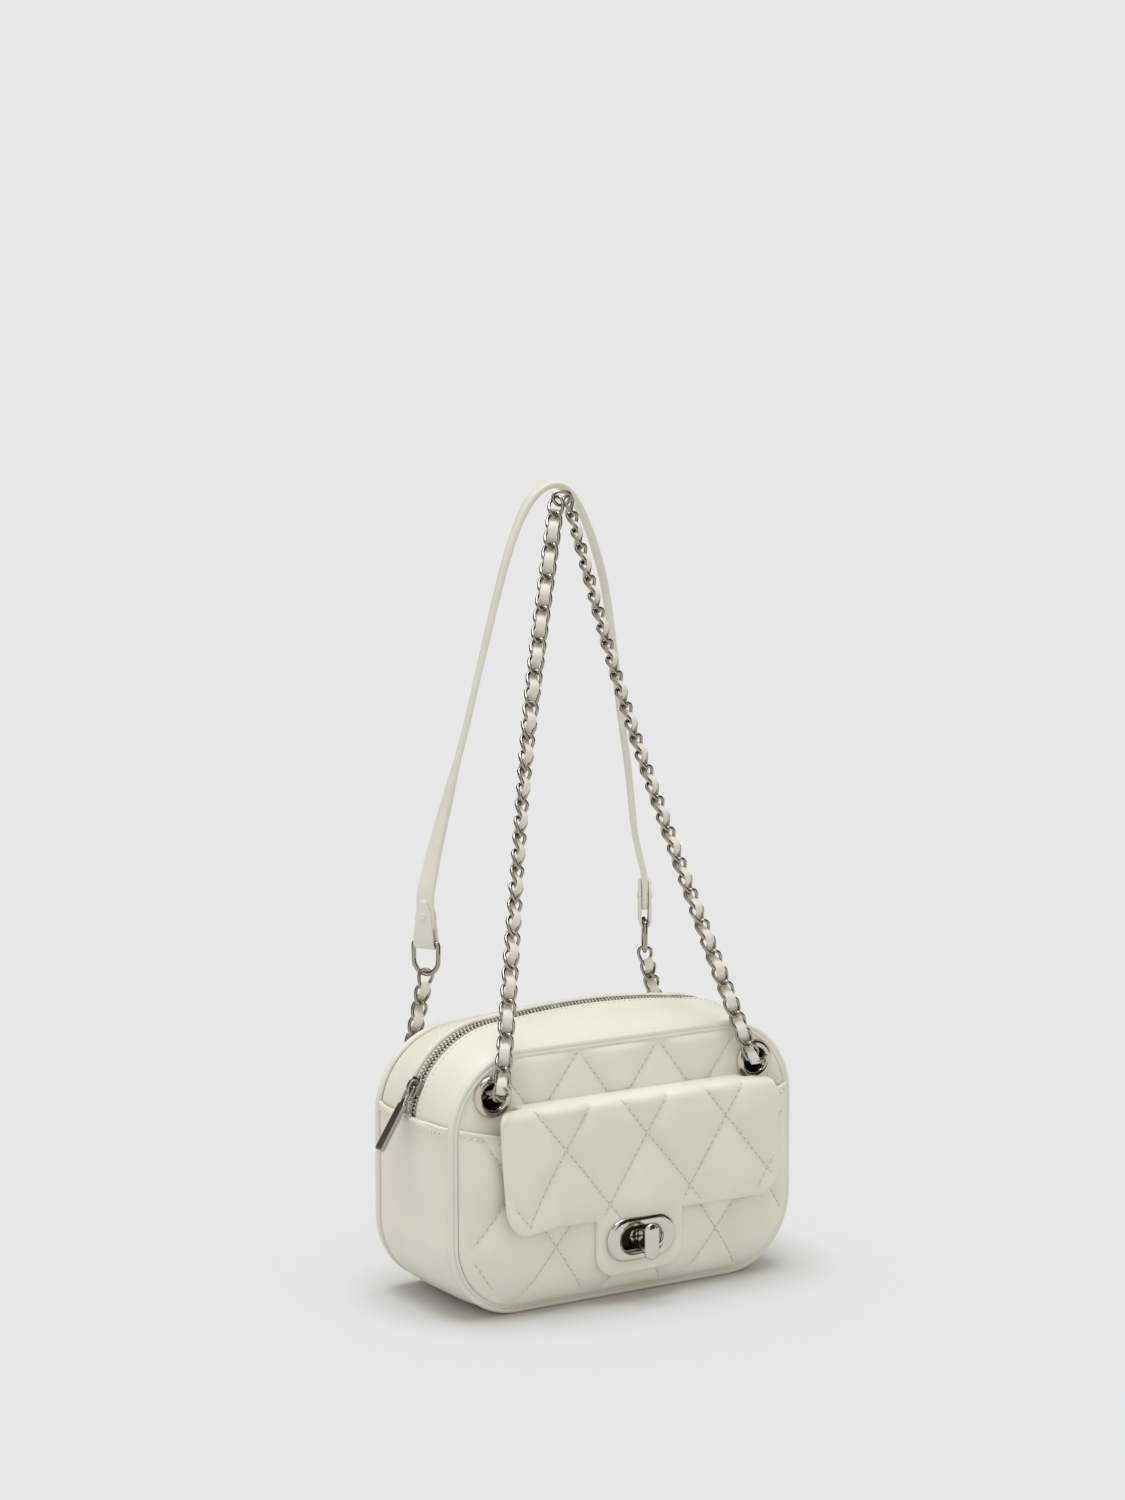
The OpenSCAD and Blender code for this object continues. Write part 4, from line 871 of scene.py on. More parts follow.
def build_gussets():
    edge, ridge = top_lines()
    inner_y, seam_in, fold_in, pitch = ZIP_STRIP_W / 2, 3.1, 3.4, 3.4
    near_zip = [4.2, 3.6, seam_in, 2.7, 2.2, 1.6, 1.0, 0.5, 0.2, 0.0]
    across = np.concatenate([np.linspace(EDGE_Y, inner_y + 5, 26), inner_y + np.array(near_zip)])
    for name, side in SIDES.items():
        depths = facing(across, side)
        base = between(edge, ridge, depths, 2)
        y = np.abs(base[..., 1])
        from_zip = y - inner_y
        fold = 0.2 * (1 - smooth(from_zip, 2.0, 5.0)) - 0.12 * np.exp(-((from_zip - fold_in) / 0.5) ** 2)
        lip = -1.2 * (1 - np.clip(from_zip, 0, 1)) ** 2
        uneven = 0.5 * wobble(base[..., 0], base[..., 1] * 1.6, 4 + side)
        soft = uneven * smooth(EDGE_Y - y, 0, 8) * smooth(from_zip, 2, 9)
        rise = fold + lip + soft - 0.9 * np.exp(-(EDGE_Y - y) / 1.1)
        piece(f"zip_gusset_{name}_leather", *shell(base, rise, GUSSET_T), LEATHER, "root", "smooth_leather",
              [f"zip_gusset_{name}"])
        j = int(np.argmin(np.abs(np.abs(depths) - inner_y - seam_in)))
        piece(f"zip_gusset_{name}_stitches",
              *scatter(stitch_template(2.8, 0.26), grid_places(base, rise, j, pitch)), THREAD, "root",
              "smooth_leather")

    depths = EDGE_Y * np.sin(np.radians(np.linspace(-90, 90, 45)))
    base = between(*low_lines(), depths, 5)
    x, y, z = base[..., 0], base[..., 1], base[..., 2]
    soft = 0.7 * wobble(y * 1.3, z * 1.1 + x * 0.4, 6.0) + 0.35 * wobble(y * 3, z * 2, 7.5)
    soft = soft * smooth(z, 3, 30) * smooth(EDGE_Y - np.abs(y), 0, 7)
    seam = 1 - smooth(SEAM_Z - z, 2.4, 4.2)
    points, faces = shell(base, soft + seam - 0.35 * np.exp(-(EDGE_Y - np.abs(y)) / 1.1), GUSSET_T)
    points[:, 2] = np.maximum(points[:, 2], FLOOR_GAP)
    piece("lower_gusset_leather", points, faces, LEATHER, "root", "smooth_leather", ["lower_gusset"])
    places = []
    for name, s in HANDS.items():
        places += side_row(s, SEAM_Z - 3.2, 3.2)
        piece(f"side_seam_roll_{name}", *side_roll(s), LEATHER, "root", "smooth_leather")
    sew("side_seam_stitches", places, "root", "smooth_leather", 3.2)


def side_x(y, z):
    """How far out the side gusset lies at a depth and a height near the side seam."""
    f = 1 - np.abs(y / EDGE_Y) ** 5
    edge, ridge = (x + sqrt(r ** 2 - max(0, z - RIDGE_Z) ** 2)
                   for x, r in ((LINE_W - LINE_TOP_R, LINE_TOP_R), (RIDGE_X, RIDGE_R)))
    return edge + (ridge - edge) * f


def side_row(s, z, pitch):
    y = np.linspace(-EDGE_Y + 2.5, EDGE_Y - 2.5, 60)
    return row_places(xyz(s * (side_x(y, z) + 0.7), y, z), xyz(0 * y + s, 0, 0.1), pitch)


def side_roll(s):
    """Raised folded edge along the side seam."""
    y = np.linspace(-EDGE_Y + 0.6, EDGE_Y - 0.6, 70)
    line = xyz(s * (side_x(y, SEAM_Z) + 0.1), y, SEAM_Z - 0.6 + 0.25 * np.sin(y / 5))
    return sweep(line, np.cross(directions(line), Z), Z, rounded_bar(2.2, 2.2, 1.05, 4))


# Piping

def build_piping():
    for name, side in SIDES.items():
        x, z = densify(thin(body_outline(0.0, 24), THIN), 2.5).T
        cord = tube(xyz(x, side * BODY_D / 2, np.maximum(z, PIPING_R + FLOOR_GAP)), PIPING_R, 12)
        piece(f"{name}_piping_cord", *cord, LEATHER_EDGE, "root", "piping_leather", [f"{name}_piping"])
        x, z = densify(thin(body_outline(WELT_IN, 24), THIN), 2.5).T
        over = (WELT_POCKET_OUT - WELT_OUT) * smooth(MOUTH_Z - z, -3, 5) * (side == FRONT)
        welt = tube(xyz(x, side * (PANEL_FRONT + WELT_OUT + over), z), WELT_R, 10)
        piece(f"{name}_piping_welt", *welt, LEATHER_EDGE, "root", "piping_leather")


# Lining and board

def build_inside():
    outline = densify(thin(body_outline(2.6, 12), THIN), 6)
    x, z = outline.T
    y = BODY_D / 2 - PANEL_T / 2 - 1.0
    points = np.concatenate([xyz(x, share * y, z) for share in (-1, -0.5, 0, 0.5, 1)])
    middle_x, middle_z = (outline + np.roll(outline, -1, 0)).T / 2
    open_top = (middle_z > LINE_HIGH - 8) & (np.abs(middle_x) < 70)
    n = len(outline)
    faces = [f for f in grid_faces(5, n, wrap_j=True) if not (n <= f[0] < 3 * n and open_top[f[0] % n])]
    loops = [outline] + [circle_loop(s * EYELET_X, EYELET_Z, 9.4, 24) for s in (LEFT, RIGHT)]
    p, triangles = triangulate(*outline_edges(loops), loops)
    for v in (-y, y):
        faces += (len(points) + triangles).tolist()
        points = np.concatenate([points, xyz(p[:, 0], v, p[:, 1])])
    lining = piece("lining_cloth_bag", points, faces, LINING, "root", "lining_cloth", ["lining"], closed=False)
    turn_outward(lining.data, True)
    thick = lining.modifiers.new("cloth", "SOLIDIFY")
    thick.thickness = 0.8 * MM
    thick.offset = -1
    repaint(BOARD, "base_board")


# Zip

def build_zip():
    def sunk(line):
        """The line moved in by the depth of the tape's top, with its directions."""
        run = directions(line)
        return line + np.stack([-run[:, 1], run[:, 0]], 1) * TAPE_TOP, run

    (edge, _), (ridge, run) = map(sunk, top_lines())
    s = lengths(ridge)
    for name, side in SIDES.items():
        depths = facing(np.linspace(ZIP_SLIT / 2 + ZIP_STRIP_W, ZIP_SLIT / 2, 12), side)
        base = between(edge, ridge, depths, 2)
        rise = 0.25 * np.exp(-((np.abs(base[..., 1]) - 4.6) / 0.6) ** 2)
        piece(f"zip_tape_{name}_cloth", *shell(base, rise - 0.02, TAPE_T - 0.05), TAPE, "root", "zip_cloth",
              [f"zip_tape_{name}"])
        at = np.arange(TEETH_IN + (TOOTH_PITCH / 2 if side > 0 else 0), s[-1] - TEETH_IN, TOOTH_PITCH)
        (x, z), (ax, az) = sample(at, s, ridge).T, unit(sample(at, s, run)).T
        places = np.stack([xyz(x, 0, z), xyz(ax, 0, az), xyz(0 * x, side, 0), xyz(-az, 0, ax)], 1)
        piece(f"zip_teeth_{name}_metal", *scatter(tooth(), places), CHROME_ZIP, "root", "zip_metal",
              [f"zip_teeth_{name}"])
    stops = []
    bars = np.stack([rounded_bar(w, h, 0.5) for w, h in ((1.2, 5.6), (1.7, 6.4), (1.7, 6.4), (1.2, 5.6))])
    for s in (LEFT, RIGHT):
        block = sweep([(-0.6, 0, z) for z in (0.1, 0.3, 1.2, 1.4)], X, Y, bars)
        points, faces = moved(block, corner_matrix(RIDGE_SEAM_TURN + 0.3))
        stops.append((points * (-s, 1, 1), faces))
    piece("zip_end_stops_metal", *join(stops), CHROME_ZIP, "root", "zip_metal", ["zip_end_stops"])


def tooth():
    """A zip tooth: a clamped shank that widens into a rounded head over the slit."""
    y, w, h = np.array([(3.5, 0.5, 0.5), (3.3, 0.9, 1.0), (2.0, 1.0, 1.2), (1.2, 0.8, 1.25), (0.5, 1.0, 1.3),
                        (-0.15, 1.15, 1.3), (-0.6, 0.9, 1.0), (-0.75, 0.4, 0.5)]).T
    rings = np.stack([rounded_bar(a, b, min(a, b) * 0.3, 2) for a, b in zip(w, h)])
    return sweep(xyz(0, y, 0.8), X, Z, rings)


def corner_matrix(angle):
    """Frame on the left corner of the ridge: -X outward, +Z up along the zip."""
    return turned((-RIDGE_X, 0, RIDGE_Z), angle, "Y") @ Matrix.Translation((-RIDGE_R, 0, 0))


def build_slider():
    m = corner_matrix(SLIDER_ANGLE)
    z, w = np.array([(-5.6, 5.2), (-5.2, 6.4), (-3.0, 7.4), (0.5, 8.6), (3.2, 9.4), (5.0, 8.6), (5.5, 7.2)]).T
    parts = []
    for x, t in ((-0.65, 1.3), (3.75, 1.1)):
        rings = np.stack([rounded_bar(t * (0.6 if i in (0, 6) else 1), b, 0.36 * t) for i, b in enumerate(w)])
        parts.append(sweep(xyz(x, 0, z), X, Y, rings))
    wall_z = np.array([-3.4, -1.5, 0.5, 2.4, 4.2])
    for s in (FRONT, BACK):
        wall = xyz(0.4, s * (np.interp(wall_z, z, w) / 2 - 0.6), wall_z)
        parts.append(sweep(wall, X, Y, rounded_bar(2.0, 1.1, 0.4)))
    parts.append(sweep([(1.5, 0, 2.2), (1.5, 0, 5.2)], X, Y, rounded_bar(5.0, 1.1, 0.4)))
    arch = np.array([(-1.0, 0, -4.0), (-2.6, 0, -3.9), (-3.7, 0, -3.0), (-4.2, 0, -1.4), (-4.3, 0, 0.6),
                     (-4.0, 0, 2.2), (-3.1, 0, 3.2), (-1.0, 0, 3.6)])
    parts.append(sweep(arch, Y, np.cross(directions(arch), Y), rounded_bar(2.6, 1.3, 0.5)))
    piece("zip_slider_metal", *moved(join(parts), m), CHROME_PULL, "zip_slider", "pull_metal", ["zip_slider"])

    hinge = m @ turned((-PULL_HINGE_OUT, 0, 0), PULL_ANGLE - SLIDER_ANGLE, "Y")
    l, w, r = PULL_LINK_L - 2 * PULL_WIRE_R, PULL_LINK_W / 2 - PULL_WIRE_R, 1.0
    y, z = np.concatenate([arc(w - r, -r, r, 90, 0, 4), arc(w - r, -l + r, r, 0, -90, 4),
                           arc(-w + r, -l + r, r, 270, 180, 4), arc(-w + r, -r, r, 180, 90, 4)]).T
    piece("zip_pull_link_wire", *moved(tube(xyz(0, y, z), PULL_WIRE_R, 10, X), hinge), CHROME,
          "zip_pull", "pull_metal", ["zip_pull_link"])

    l, wide, t = PULL_TAB_L, PULL_TAB_W, PULL_TAB_T
    z, w, t = np.array([(0.0, 2.2, 0.9), (-0.5, 3.4, 1.6), (-1.6, 3.9, 2.2), (-3.0, 4.6, 2.3),
                        (-4.0, wide - 0.6, t), (1.6 - l, wide, t), (0.5 - l, wide - 0.4, t - 0.4),
                        (-l, wide - 1.6, t - 1.2)]).T
    rings = np.stack([chamfered(a, b, 0.55) for a, b in zip(t, w)])
    tab = sweep(xyz(0, 0, z - (PULL_LINK_L - 2.8)), X, Y, rings)
    tab = piece("zip_pull_tab_metal", *moved(tab, hinge), CHROME_PULL, "zip_pull", "pull_metal",
                ["zip_pull_tab"], flat=True)
    bevel = tab.modifiers.new("edges", "BEVEL")
    bevel.width = 0.12 * MM
    bevel.segments = 2
    bevel.limit_method = "ANGLE"
    bevel.angle_limit = radians(25)
    bevel.harden_normals = False


def chamfered(w, h, c):
    c = min(c, w * 0.3, h * 0.3)
    x, y = w / 2, h / 2
    return np.array([(x, y - c), (x - c, y), (-x + c, y), (-x, y - c), (-x, -y + c), (-x + c, -y),
                     (x - c, -y), (x, -y + c)])


# Lock

def build_lock():
    def at_depth(y):
        return lambda x, z, o: xyz(x, -(y + o), z)

    def facing_out(y):
        """Frame on the lock's middle at a depth, its Z out of the bag."""
        return turned((0, -y, LOCK_Z), 90, "X")

    def dome(x, z, d):
        return 0.5 * smooth(d, 0.0, 2.2) - 0.25 * (1 - smooth(d, 0.4, 1.4))

    plate_t = 2.4
    plate = Sheet(obround(LOCK_W, LOCK_H, LOCK_Z, 24), at_depth(FLAP_FACE + plate_t / 2 - 0.25), plate_t - 0.4,
                  1.0, dome, [obround(LOCK_OPEN_W, LOCK_OPEN_H, LOCK_Z, 18)], 1.2)
    piece("lock_plate_metal", *plate.mesh(), CHROME_LOCK, "flap", "lock_metal", ["lock_plate"])
    # The backings and screws get the near-black plating: painted shade.
    repaint(CHROME_PAINTED_SHADE, "lock_plate_backing", "lock_base_backing", "lock_screws")

    base_y = POCKET_BACK + POCKET_BULGE + SEAM_GAP
    base = Sheet(obround(LOCK_BASE_W, LOCK_BASE_H, LOCK_Z, 18), at_depth(base_y + 0.6), 1.2, 0.4,
                 lambda x, z, d: 0 * x, (), 1.5)
    collar = lathe([(0.01, 0), (5.0, 0), (5.2, 0.2), (5.0, 0.5), (4.4, 0.6), (0.01, 0.6)], 40)
    # The lock base seen through the opening is near-black plating: painted shade of the opening.
    piece("lock_base_metal", *join([base.mesh(), moved(collar, facing_out(base_y + 1.0))]), CHROME_PAINTED_SHADE, "root",
          "lock_metal", ["lock_base"])

    m = facing_out(base_y + 1.5)
    head = lathe([(0.01, 0), (4.7, 0), (4.8, 0.4), (4.5, 0.95), (3.4, 1.4), (1.7, 1.65), (0.01, 1.7)], 40)
    piece("lock_centre_screw", *moved(head, m), CHROME, "root", "lock_metal")
    # The cross slot is a near-black bar on the screw head: painted shade of the slot.
    bar = sweep([(-4.2, 0, 0.9), (-3.4, 0, 1.22), (0, 0, 1.72), (3.4, 0, 1.22), (4.2, 0, 0.9)], Y, Z,
                rounded_bar(0.9, 0.5, 0.2))
    cross = [moved(bar, m @ Matrix.Rotation(radians(turn), 4, "Z")) for turn in (0, 90)]
    piece("lock_screw_groove", *join(cross), CHROME_PAINTED_SHADE, "root", "lock_metal")

    paddle_t = 3.4
    paddle_y = KNOB_OUT - paddle_t / 2
    ring = obround(KNOB_L, KNOB_W, 0, 18)[:, ::-1] + (0, LOCK_Z)
    paddle = Sheet(ring, at_depth(paddle_y), paddle_t - 0.7, 1.3, lambda x, z, d: 0.55 * smooth(d, 0, 3.5), (), 0.8)
    legs = [sweep([(0, -y, LOCK_Z + s * 5.1) for y in (paddle_y - 0.5, paddle_y - 3.0, base_y + 4.2)], X, Z,
                  rounded_bar(5.2, 1.5, 0.6)) for s in (-1, 1)]
    piece("lock_knob_metal", *join([paddle.mesh(), *legs]), CHROME_LOCK, "lock_knob", "lock_metal", ["lock_knob"])


# Eyelets

def build_eyelets():
    ro, rh = EYELET_D / 2, EYELET_HOLE / 2
    crown = [((ro + rh) / 2 + (ro - rh) / 2 * cos(a), 0.25 + (EYELET_PROUD - 0.25) * sin(a) ** 0.8)
             for a in np.radians(np.linspace(2, 178, 19))]
    under = [(rh + 0.1, -0.6), (rh + 0.9, -0.6), (ro - 0.6, -0.4)]
    rim = lathe([(ro + 0.05, 0.0), *crown, *under], 64)
    # The barrel's dark brown plating is painted shade and painted dark reflection inside the eyelet.
    barrel = lathe([(rh - 0.05, 0.2), (rh - 0.2, -1.0), (rh - 0.1, -3.4), (rh + 0.2, -5.0), (rh + 0.8, -5.4),
                    (rh + 0.8, -0.6), (rh + 0.4, 0.1)], 48)
    for side_name, side in SIDES.items():
        for hand_name, hand in HANDS.items():
            m = turned((hand * EYELET_X, side * PANEL_FRONT, EYELET_Z), -side * 90, "X")
            tag = f"{side_name}_{hand_name}"
            piece(f"eyelet_{tag}_metal", *moved(rim, m), CHROME_EYELET, "root", "eyelet_metal", [f"eyelet_{tag}"])
            piece(f"eyelet_{tag}_barrel", *moved(barrel, m), CHROME_BARREL_PAINTED_SHADE, "root", "eyelet_metal")
            # The washers get the near-black plating: painted shade.
            repaint(CHROME_PAINTED_SHADE, f"eyelet_washer_{tag}")


# Chain

class Path:
    """Smooth line through points, walked by length."""

    def __init__(self, points, steps=24):
        p = np.array(points, float)
        p = np.concatenate([[2 * p[0] - p[1]], p, [2 * p[-1] - p[-2]]])
        rows = []
        t = np.linspace(0, 1, steps, endpoint=False)[:, None]
        for a, b, c, d in zip(p, p[1:], p[2:], p[3:]):
            rows.append(0.5 * (2 * b + (c - a) * t + (2 * a - 5 * b + 4 * c - d) * t ** 2
                               + (3 * b - a - 3 * c + d) * t ** 3))
        self.points = np.concatenate(rows + [p[-2:-1]])
        self.s = lengths(self.points)
        self.length = self.s[-1]

    def at(self, s):
        return sample(s, self.s, self.points)

    def run(self, s, reach=1):
        """Directions of the line at some lengths."""
        return unit(self.at(np.minimum(s + reach, self.length)) - self.at(np.maximum(s - reach, 0)))

    def frames(self, s, roll, hint):
        """Centres with local X along the line and Y turned from the hint by a roll in degrees."""
        d = self.run(s)
        y = square_to(hint, d)
        z = np.cross(d, y)
        c, s_roll = np.cos(np.radians(roll))[:, None], np.sin(np.radians(roll))[:, None]
        return np.stack([self.at(s), d, y * c + z * s_roll, z * c - y * s_roll], 1)


def link_template(twist, n_end=12, n_side=5, sides=10):
    """Oval wire link twisted about its length, so that each end crosses its neighbour's."""
    r, h = LINK_END_R, LINK_STRAIGHT / 2
    x = np.linspace(-h, h, n_side + 2)[1:-1]
    flat = np.concatenate([arc(h, 0, r, -90, 90, n_end), np.stack([x[::-1], 0 * x + r], 1),
                           arc(-h, 0, r, 90, 270, n_end), np.stack([x, 0 * x - r], 1)])
    angle = np.radians(twist) * flat[:, 0] / (h + r)
    path = xyz(flat[:, 0], flat[:, 1] * np.cos(angle), flat[:, 1] * np.sin(angle))
    run = unit(np.roll(path, -1, 0) - np.roll(path, 1, 0))
    side = unit(np.cross(xyz(0, -np.sin(angle), np.cos(angle)), run))
    return sweep(path, side, np.cross(run, side), circle(WIRE_R, sides), True)


LINK = link_template(-45.0)
LACE_SECTION = np.concatenate([arc(2.0, 0, 0.6, -80, 80, 4), arc(0, -5.6, 6.4, 75, 105, 4),
                               arc(-2.0, 0, 0.6, 100, 260, 4), arc(0, 5.6, 6.4, 255, 285, 4)])
LACE_WAVE = 2.45
CHAIN_FACE = (cos(radians(32.5)), -sin(radians(32.5)), 0)
CHAIN_TURNS = {LEFT: [(0, 0), (0.1, 0), (0.25, 38), (0.35, 58), (0.5, 60), (0.62, 35), (0.75, 8), (1, 0)],
               RIGHT: [(0, 5), (0.12, 15), (0.3, 50), (0.6, 62), (1, 70)]}
LACE_SHORT, KNEE_Y = 0.1, 0.02
KNEE_X, LEG_SAG = {LEFT: 0.05, RIGHT: 0.2}, {LEFT: -0.05, RIGHT: 0.075}


def pivot(side, hand):
    return np.array([hand * EYELET_X, side * PIVOT_OUT, EYELET_Z])


def chain_line(tag, hand_name, path, count, first_at, turns, body, nodes=None, hint=CHAIN_FACE):
    """A curb chain along a path, with a flat lace woven over one joint and under the next."""
    shares, angles = np.array(turns, float).T

    def frames(at):
        return path.frames(at, np.interp(at / path.length, shares, angles), hint)

    chain_node, lace_node = nodes or (f"{tag}_chain", f"{tag}_lace")
    s = np.linspace(first_at, path.length - LINK_REACH, count)
    pitch = s[1] - s[0]
    piece(f"{tag}_chain_{hand_name}_metal", *scatter(LINK, frames(s)), CHROME, body, "chain_metal",
          [f"{chain_node}_{hand_name}"])
    t = np.arange(s[0] + pitch * LACE_SHORT, s[-1] - pitch * LACE_SHORT, pitch / 12)
    wave = -np.cos(pi * (t - s[0] - pitch / 2) / pitch)
    f = frames(t)
    centres = f[:, 0] + f[:, 3] * (LACE_WAVE * np.sign(wave) * np.abs(wave) ** 0.75)[:, None]
    run = directions(centres)
    side = square_to(f[:, 2], run)
    section = LACE_SECTION[None] * (0.9 + 0.16 * np.abs(wave))[:, None, None]
    piece(f"{tag}_lace_{hand_name}_leather", *sweep(centres, side, np.cross(run, side), section), LEATHER_LACE,
          body, "lace_leather", [f"{lace_node}_{hand_name}"])


def front_path(hand):
    slant = radians(40)
    top = np.array([hand * (LINK_STRAIGHT / 2 + (LINK_END_R - HOOK) * cos(slant)), CHAIN_APEX[1],
                    CHAIN_APEX[2] - LINK_W / 2 + (LINK_END_R - HOOK) * sin(slant)])
    p = pivot(FRONT, hand)
    rise = 2 * LINK_REACH - HOOK + 2 * TAUT_PITCH - HOOK / 2
    knee = p + unit([(top[0] - p[0]) * KNEE_X[hand], (top[1] - p[1]) * KNEE_Y, rise]) * rise
    mid = knee + (top - knee) * 0.55 - np.array([hand * LEG_SAG[hand] * EYELET_X, 0, 0])
    return Path([p, knee, mid, top])


def build_chains():
    for name, hand in HANDS.items():
        front, back = pivot(FRONT, hand), pivot(BACK, hand)
        chain_line("front", name, front_path(hand), FRONT_LINKS, LINK_REACH - HOOK, CHAIN_TURNS[hand],
                   "front_chain", ("front_chain_links", "front_chain_lace"))
        chain_line("inner", name, Path([front, (hand * EYELET_X, 0, EYELET_Z - 1.0), back]), INNER_LINKS,
                   LINK_REACH, [(0, 0), (1, 0)], "root", hint=X)
        d = unit(ring_foot(hand) - back)
        chain_line("rear", name, Path([back, back + d * 30, back + d * REAR_RUN]), REAR_LINKS,
                   LINK_REACH - HOOK, [(0, 10), (1, 30)], "rear_strap")
    apex = np.array(CHAIN_APEX) - (0, 0, LINK_W / 2)
    link = scatter(link_template(25.0), [[apex, X, Z, -Y]])
    piece("front_chain_apex_metal", *link, CHROME, "front_chain", "chain_metal", ["front_chain_apex_link"])


# Strap

def ring_foot(hand):
    return pivot(BACK, hand) + unit([*RING_LEAN[hand], 1]) * (REAR_RUN - WIRE_R - RING_WIRE_R - LINK_GAP)


def ring_matrix(hand):
    """Frame at a ring's lowest point: X across the ring, Y through it."""
    return turned(ring_foot(hand), 90 - hand * RING_TURN, "Z") @ Matrix.Translation((0, 0, -RING_WIRE_R))


RING_BAR = RING_H - RING_WIRE_R
STRAP_START = RING_BAR + STRAP_END_L * 0.3
STRAP_SHARES = {
    LEFT: [(1, 0), (1, 0.075), (0.965, 0.13), (0.91, 0.2), (0.79, 0.34), (0.675, 0.46), (0.56, 0.6), (0.44, 0.75),
           (0.32, 0.87), (0.17, 0.965)],
    RIGHT: [(1, 0), (1, 0.075), (0.94, 0.13), (0.875, 0.2), (0.81, 0.34), (0.74, 0.46), (0.65, 0.62), (0.54, 0.78),
            (0.385, 0.9), (0.2, 0.975)]}
# Turn of the strap's flat side along its length, from the left ring to the right one
STRAP_TURNS = [(0, 30), (0.045, 30), (0.09, 8), (0.14, -8), (0.18, -26), (0.23, -29), (0.35, -24),
               (0.44, -18), (0.5, 0), (0.56, 18), (0.65, 22), (0.8, 25), (0.955, 30), (1, 30)]


def strap_half(hand):
    x, y, z = ring_foot(hand) + (0, 0, STRAP_START - RING_WIRE_R)
    rise = STRAP_APEX_Z - STRAP_T / 2 - z
    return [np.array([a * x, y + (STRAP_Y - y) * (1 - a), z + b * rise]) for a, b in STRAP_SHARES[hand]]


def build_strap():
    left, right = strap_half(LEFT), strap_half(RIGHT)
    path = Path(left + [np.array([0, STRAP_Y, STRAP_APEX_Z - STRAP_T / 2])] + right[::-1], 12)
    s = np.linspace(0, path.length, 220)
    d = path.run(s, 2)
    turn = np.radians(np.interp(s / path.length, *np.array(STRAP_TURNS, float).T))[:, None]
    side = square_to(np.cos(turn) * Y + np.sin(turn) * unit(np.cross(d, Y)), d)
    out = np.cross(d, side)
    w, t, r, crease, crown = STRAP_W / 2, STRAP_T / 2, 0.9, 0.03, 0.12
    section = []
    for x, y, a, after in ((1, 1, 0, (0, w + crease)), (-1, 1, 90, (-t - crown, 0)),
                           (-1, -1, 180, (0, -w - crease)), (1, -1, 270, (t + crown, 0))):
        section += [*arc(x * (t - 1.0), y * (w - r), r, a, a + 90, 4), after]
    centres = path.at(s) + out * (0.25 * np.sin(s / 17.0))[:, None]
    piece("shoulder_strap_leather", *sweep(centres, out, side, section), LEATHER_STRAP, "rear_strap",
          "smooth_leather", ["shoulder_strap"])
    for name, hand in HANDS.items():
        build_strap_end(name, ring_matrix(hand))


def build_strap_end(name, m):
    """A D-ring with the leather end folded round its bar and the rivet that closes it."""
    bend = 1.6
    x, z = np.concatenate([arc(0, RING_WIRE_R + RING_R, RING_R, 180, 360, 20),
                           arc(RING_R - bend, RING_BAR - bend, bend, 0, 90, 4),
                           arc(-RING_R + bend, RING_BAR - bend, bend, 90, 180, 4)]).T
    piece(f"strap_ring_{name}_metal", *moved(tube(xyz(x, 0, z), RING_WIRE_R, 14), m), CHROME, "rear_strap",
          "chain_metal", [f"strap_ring_{name}"])
    out, thick, top = STRAP_T / 2 + 0.95, 1.7, RING_BAR + STRAP_END_L
    y, z = thin(np.concatenate([[(out, top - k * 2.0) for k in range(12)], arc(0, RING_BAR, out, 0, -180, 14),
                                [(-out, RING_BAR + k * 2.0) for k in range(1, 13)]]), 0.2).T
    line = xyz(0, y + 0.25 * np.sin((z - RING_BAR) / STRAP_END_L * pi) * np.sign(y), z)
    wide = STRAP_END_W * (1 - 0.2 * smooth(z, RING_BAR, RING_BAR + 14) - 0.55 * smooth(z, RING_BAR + 14, top + 1))
    rings = np.stack([rounded_bar(v, thick, 0.7) for v in wide])
    leather_end = sweep(line, X, np.cross(directions(line), X), rings)
    piece(f"strap_end_{name}_leather", *moved(leather_end, m), LEATHER_STRAP, "rear_strap", "smooth_leather",
          [f"strap_end_{name}"])
    half = [(0.01, 4.3), (1.6, 4.25), (2.0, 4.0), (2.0, 3.8), (1.0, 3.6)]
    rivet = lathe([(r, -h) for r, h in half] + half[::-1], 28)
    m = m @ turned((0, 0, RING_BAR + STRAP_END_L * 0.62), 90, "X")
    piece(f"strap_rivet_{name}_metal", *moved(rivet, m), LEATHER_STRAP, "rear_strap", "smooth_leather",
          [f"strap_rivet_{name}"])


# Stage, light and camera

BACKGROUND = srgb(231, 231, 231)
WORLD_LIGHT, WORLD_TINT = 0.73, (1.0, 0.935, 0.83)
KEY_DIRECTION, KEY_STRENGTH, KEY_SPREAD, KEY_TINT = (-0.06, 0.0, 1.0), 1.72, 36.0, (0.94, 1.0, 1.08)
# Narrow black cards round the bag: only polished metal sees them
CARD_FAR, CARD_AIM = 0.75, 0.5
CARDS = [(azimuth, 0.5, 0.53, 1.0) for azimuth in (293, 331, 29, 68, 107, 146)] + [(215, 0.95, 0.5, 0.35)]


def matt(name, colour, **values):
    material = bpy.data.materials.new(name)
    nodes_of(material, Base_Color=colour, Roughness=1.0, **values)
    return material


